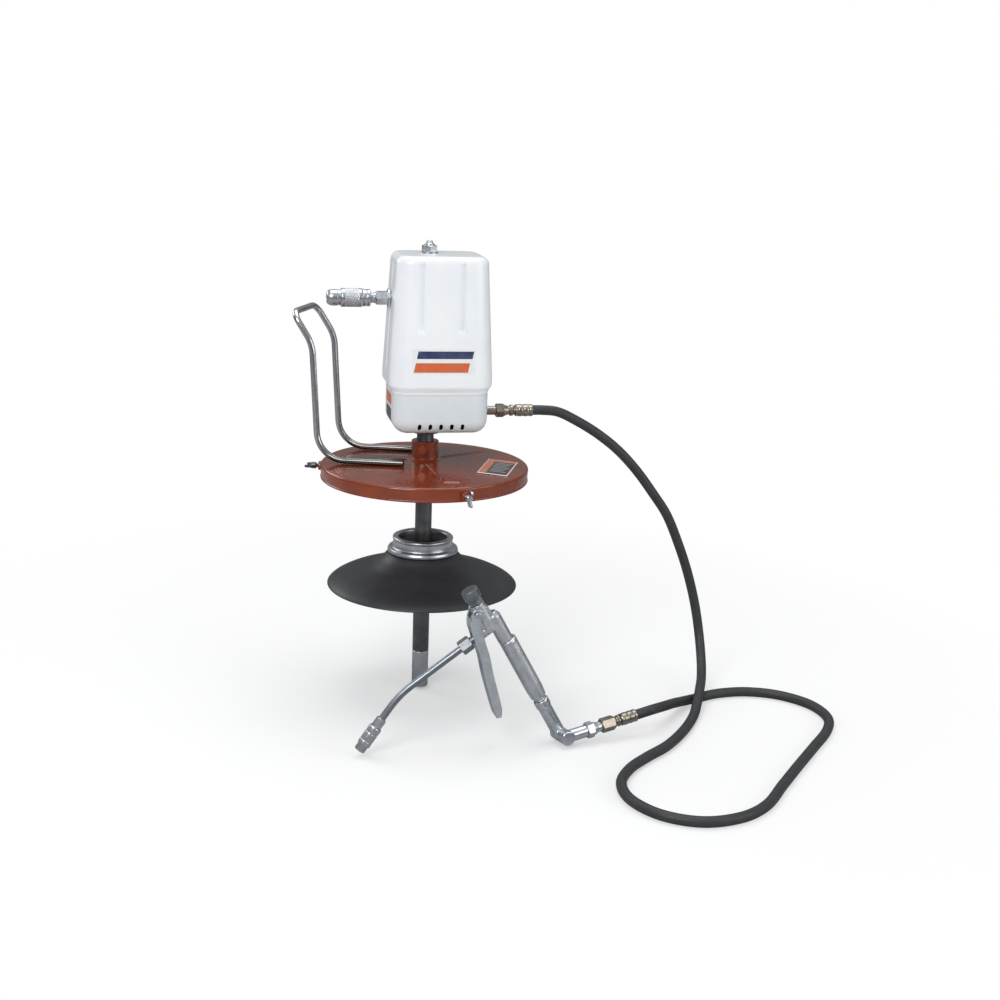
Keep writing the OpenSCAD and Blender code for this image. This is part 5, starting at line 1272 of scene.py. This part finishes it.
def draped_plate(width, height, thick, place, surface, n=30):
    """A thin plate: its foot lies on surface(x, y), its slightly smaller top is thick mm above that."""
    x, y = np.linspace(-width / 2, width / 2, n), np.linspace(-height / 2, height / 2, n)
    gx, gy = np.meshgrid(x, y, indexing="ij")
    low = np.stack([gx, gy, surface(gx, gy)], -1)
    high = (low + [0, 0, thick]) * [TOP_SHARE, TOP_SHARE, 1]
    verts = np.vstack([low.reshape(-1, 3), high.reshape(-1, 3)])
    k = np.arange(n * n).reshape(n, n)
    first = k[:-1, :-1].ravel()
    bottom = np.stack([first, first + 1, first + n + 1, first + n], -1)
    border = np.concatenate([k[:, 0], k[-1, 1:], k[-2::-1, -1], k[0, -2:0:-1]])
    after = np.roll(border, -1)
    walls = np.stack([border, after, after + n * n, border + n * n], -1)
    return placed((verts, [*bottom.tolist(), *(bottom[:, ::-1] + n * n).tolist(), *walls.tolist()]), place)


def flat_at(height):
    """A level ground for a plate, at a height above its place."""
    return lambda x, y: height + 0 * x


# %% Plate on the pail cover
PALE, DARK, NAVY = (0.78, 0.80, 0.80), (0.035, 0.035, 0.04), (0.02, 0.035, 0.11)
BAR_ORANGE, ORANGE_PLATE, GREY_BAR = (0.60, 0.12, 0.03), (0.62, 0.20, 0.09), (0.40, 0.39, 0.38)
LABEL_W, LABEL_H, LABEL_THICK, LABEL_GAP, LABEL_R, LABEL_TURN = 46.0, 92.0, 0.8, 0.3, 113.0, -5.0
PRINT_THICK, PRINT_GAP = 0.25, 0.05

cone_slope = math.degrees(math.atan(CONE_FALL / (CONE_OUT - CONE_IN)))
on_cone = shift(LABEL_R, 0, cone_height(LABEL_R)) @ turn_about("y", cone_slope)
lid_place = lid @ turn_about("z", LABEL_TURN) @ on_cone
label_bars = [((-21.5, 21.5, -44.5, 44.5), ORANGE_PLATE), ((-10.5, 20.5, -43, 34), DARK)]
label_bars += [((-8, 18 - 3 * (k % 3), 24 - 9 * k, 27 - 9 * k), GREY_BAR) for k in range(7)]
LABEL = plate_finish("lid plate film", lid_place, label_bars, PALE)
label_shell = draped_plate(LABEL_W, LABEL_H, LABEL_THICK, lid_place, flat_at(LABEL_GAP))
piece("lid_plate", [label_shell], LABEL, "pump", ["cover_label"], crease=30)

# %% Front badge
BADGE_W, BADGE_H, BADGE_Z, BADGE_SLANT = 92.0, 36.0, 170.0, 0.22
lean = TAPER_D / 2 / (WALL_HIGH - WALL_LOW)
badge_y = -(COVER_D + RIM_OUT) / 2 + (BADGE_Z - WALL_LOW) * lean
badge_place = shift(SHELL_X, badge_y, BADGE_Z) @ turn_about("x", 90 - math.degrees(math.atan(lean)))
badge_bars = [((-41, 39, -16, -2), BAR_ORANGE), ((-41, 41, 4, 15), NAVY)]
BADGE = plate_finish("badge film", badge_place, badge_bars, PALE, BADGE_SLANT)
badge_shell = draped_plate(BADGE_W, BADGE_H, PRINT_THICK, badge_place, flat_at(PRINT_GAP), 12)
piece("front_badge", [badge_shell], BADGE, "pump")

# %% Side label
SIDE_W, SIDE_H, SIDE_Y, SIDE_Z = 56.0, 47.0, -2.0, 93.0
facing_left = turn_about("z", 180) @ turn_about("y", 90) @ turn_about("z", 90)
side_place = shift(SHELL_X - PAN_W / 2, SIDE_Y, SIDE_Z) @ facing_left


def bottom_curve(x, y):
    """Where the pan's wall is R (1 - cos t) above its floor, it has moved in by R (1 - sin t)."""
    rise = np.clip((SIDE_Z + y - PAN_FLOOR) / PAN_ROUND, 0, 1)
    return PRINT_GAP - PAN_ROUND * (1 - np.sqrt(1 - (1 - rise) ** 2)) + 0 * x


side_bars = [((-26, 26, 5, 22), BAR_ORANGE), ((-26, 26, -22, 1), DARK)]
SIDE = plate_finish("side label film", side_place, side_bars, PALE)
side_shell = draped_plate(SIDE_W, SIDE_H, PRINT_THICK, side_place, bottom_curve, 24)
piece("side_label", [side_shell], SIDE, "pump")

# %% [markdown]
# ## Solids that stay
# Inner parts are already right as measured solids. They keep their shape and get a finish
# of their own material, so the inside looks true when the cover is taken off.

# %% Finishes for the other solids
KEPT = {
    ZINC: ("centre_stud", "tie_rods", "stem_spring", "coupler_jaws"),
    CAST: ("motor_base", "cylinder_head", "valve_chest", "air_piston"),
    BARE_STEEL: ("air_cylinder",),
    CHROME: ("piston_rod", "trip_rod", "valve_spool", "plunger", "plunger_ball", "primer_rod", "valve_stem"),
    IRON: ("primer_disc",), BRASS: ("inlet_check",), FELT: ("exhaust_felt",),
    SEAL: ("piston_ring", "rod_packing"), RUBBER: ("cover_gasket",), ORANGE_PAINT: ("hub_screw",)}
for look, names in KEPT.items():
    for node_name in names:
        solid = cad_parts[node_name]
        solid.data.materials.clear()
        solid.data.materials.append(look)
print("solids kept:", sum(len(v) for v in KEPT.values()))

# %% [markdown]
# ## Floor, light and air
# A catalogue picture has a white ground. The floor is pale and takes the object's shadow
# near it; far from the object it fades into the white that the camera sees as the sky.
# Large soft lamps light the object from the left front, from the right and from above.

# %% Floor
FLOOR_Z, FLOOR_HALF = -0.360, 9
WHITE, FLOOR_WHITE, MIRRORED_GREY = (1, 1, 1, 1), (0.93, 0.93, 0.93, 1), (0.40, 0.40, 0.41, 1)
FADE_FROM, FADE_TO = 0.35, 1.15


def mix_shaders(tree, share, first, second):
    """first where the share is 0, second where it is 1."""
    return node(tree, "MixShader", {0: share, 1: first, 2: second}).outputs["Shader"]


floor_mesh = bpy.data.meshes.new("floor")
floor_points = [(sx * FLOOR_HALF, sy * FLOOR_HALF, FLOOR_Z) for sx, sy in CORNERS]
floor_mesh.from_pydata(floor_points, [], [(0, 1, 2, 3)])
floor = bpy.data.objects.new("floor", floor_mesh)
bpy.context.collection.objects.link(floor)
floor_look, tree, shader = new_tree("pale floor")
shader.inputs["Base Color"].default_value = FLOOR_WHITE
shader.inputs["Roughness"].default_value = 0.9
glow = node(tree, "Emission", {"Color": WHITE}).outputs["Emission"]
matt = node(tree, "BsdfDiffuse", {"Color": MIRRORED_GREY}).outputs["BSDF"]
ray = node(tree, "LightPath").outputs
away = node(tree, "VectorMath", {0: here(tree)}, operation="LENGTH").outputs["Value"]
far = spread(tree, away, 0.30, 1.0, FADE_FROM, FADE_TO)
ground = mix_shaders(tree, ray["Is Glossy Ray"], shader.outputs["BSDF"], matt)
faded = mix_shaders(tree, maths(tree, "MULTIPLY", far, ray["Is Camera Ray"]), ground, glow)
out = [n for n in tree.nodes if n.type == "OUTPUT_MATERIAL"][0]
tree.links.new(faded, out.inputs["Surface"])
floor_mesh.materials.append(floor_look)

# %% [markdown]
# The sky is white for the camera. What it gives off is weaker, and metal sees it graded
# from dark below to bright above, which gives round pieces their dark and light bands.

# %% Sky
SKY_POWER, SKY_LIGHT = 0.42, (0.94, 0.97, 1.0)
SKY_LOW, SKY_HIGH = (0.10, 0.11, 0.12), (1.25, 1.28, 1.30)
world = bpy.data.worlds.new("studio")
bpy.context.scene.world = world
world.use_nodes = True
tree = world.node_tree
tree.nodes.clear()
ray = node(tree, "LightPath").outputs
ahead = node(tree, "SeparateXYZ", {"Vector": node(tree, "TexCoord").outputs["Generated"]})
height = spread(tree, ahead.outputs["Z"], 0, 1, -0.1, 0.75)
graded = blend_colours(tree, height, SKY_LOW, SKY_HIGH)
sky_tone = blend_colours(tree, ray["Is Glossy Ray"], SKY_LIGHT, graded)
lit_sky = node(tree, "Background", {"Color": sky_tone, "Strength": SKY_POWER}).outputs["Background"]
seen_sky = node(tree, "Background", {"Color": WHITE}).outputs["Background"]
node(tree, "OutputWorld", {"Surface": mix_shaders(tree, ray["Is Camera Ray"], lit_sky, seen_sky)})

# %% Lamps


def soft_lamp(name, place, target, size, power):
    """A rectangular lamp that looks at the target."""
    data = bpy.data.lights.new(name, "AREA")
    data.shape, data.size, data.size_y, data.energy = "RECTANGLE", size[0], size[1], power
    lamp = bpy.data.objects.new(name, data)
    bpy.context.collection.objects.link(lamp)
    lamp.matrix_world = Matrix(facing(place, np.subtract(place, target), (0, 0, 1)).tolist())


soft_lamp("key", (-1.3, -2.0, 1.5), (0.05, 0, 0), (1.3, 1.3), 34)
soft_lamp("fill", (1.9, -1.5, 0.7), (0.1, 0, -0.1), (1.2, 1.6), 13)
soft_lamp("top", (0.1, 0.3, 2.2), (0.1, 0, 0), (1.8, 1.8), 24)
soft_lamp("rim", (-1.6, 1.4, 0.9), (0, 0, 0), (0.8, 1.4), 10)
print("lamps:", len(bpy.data.lights))
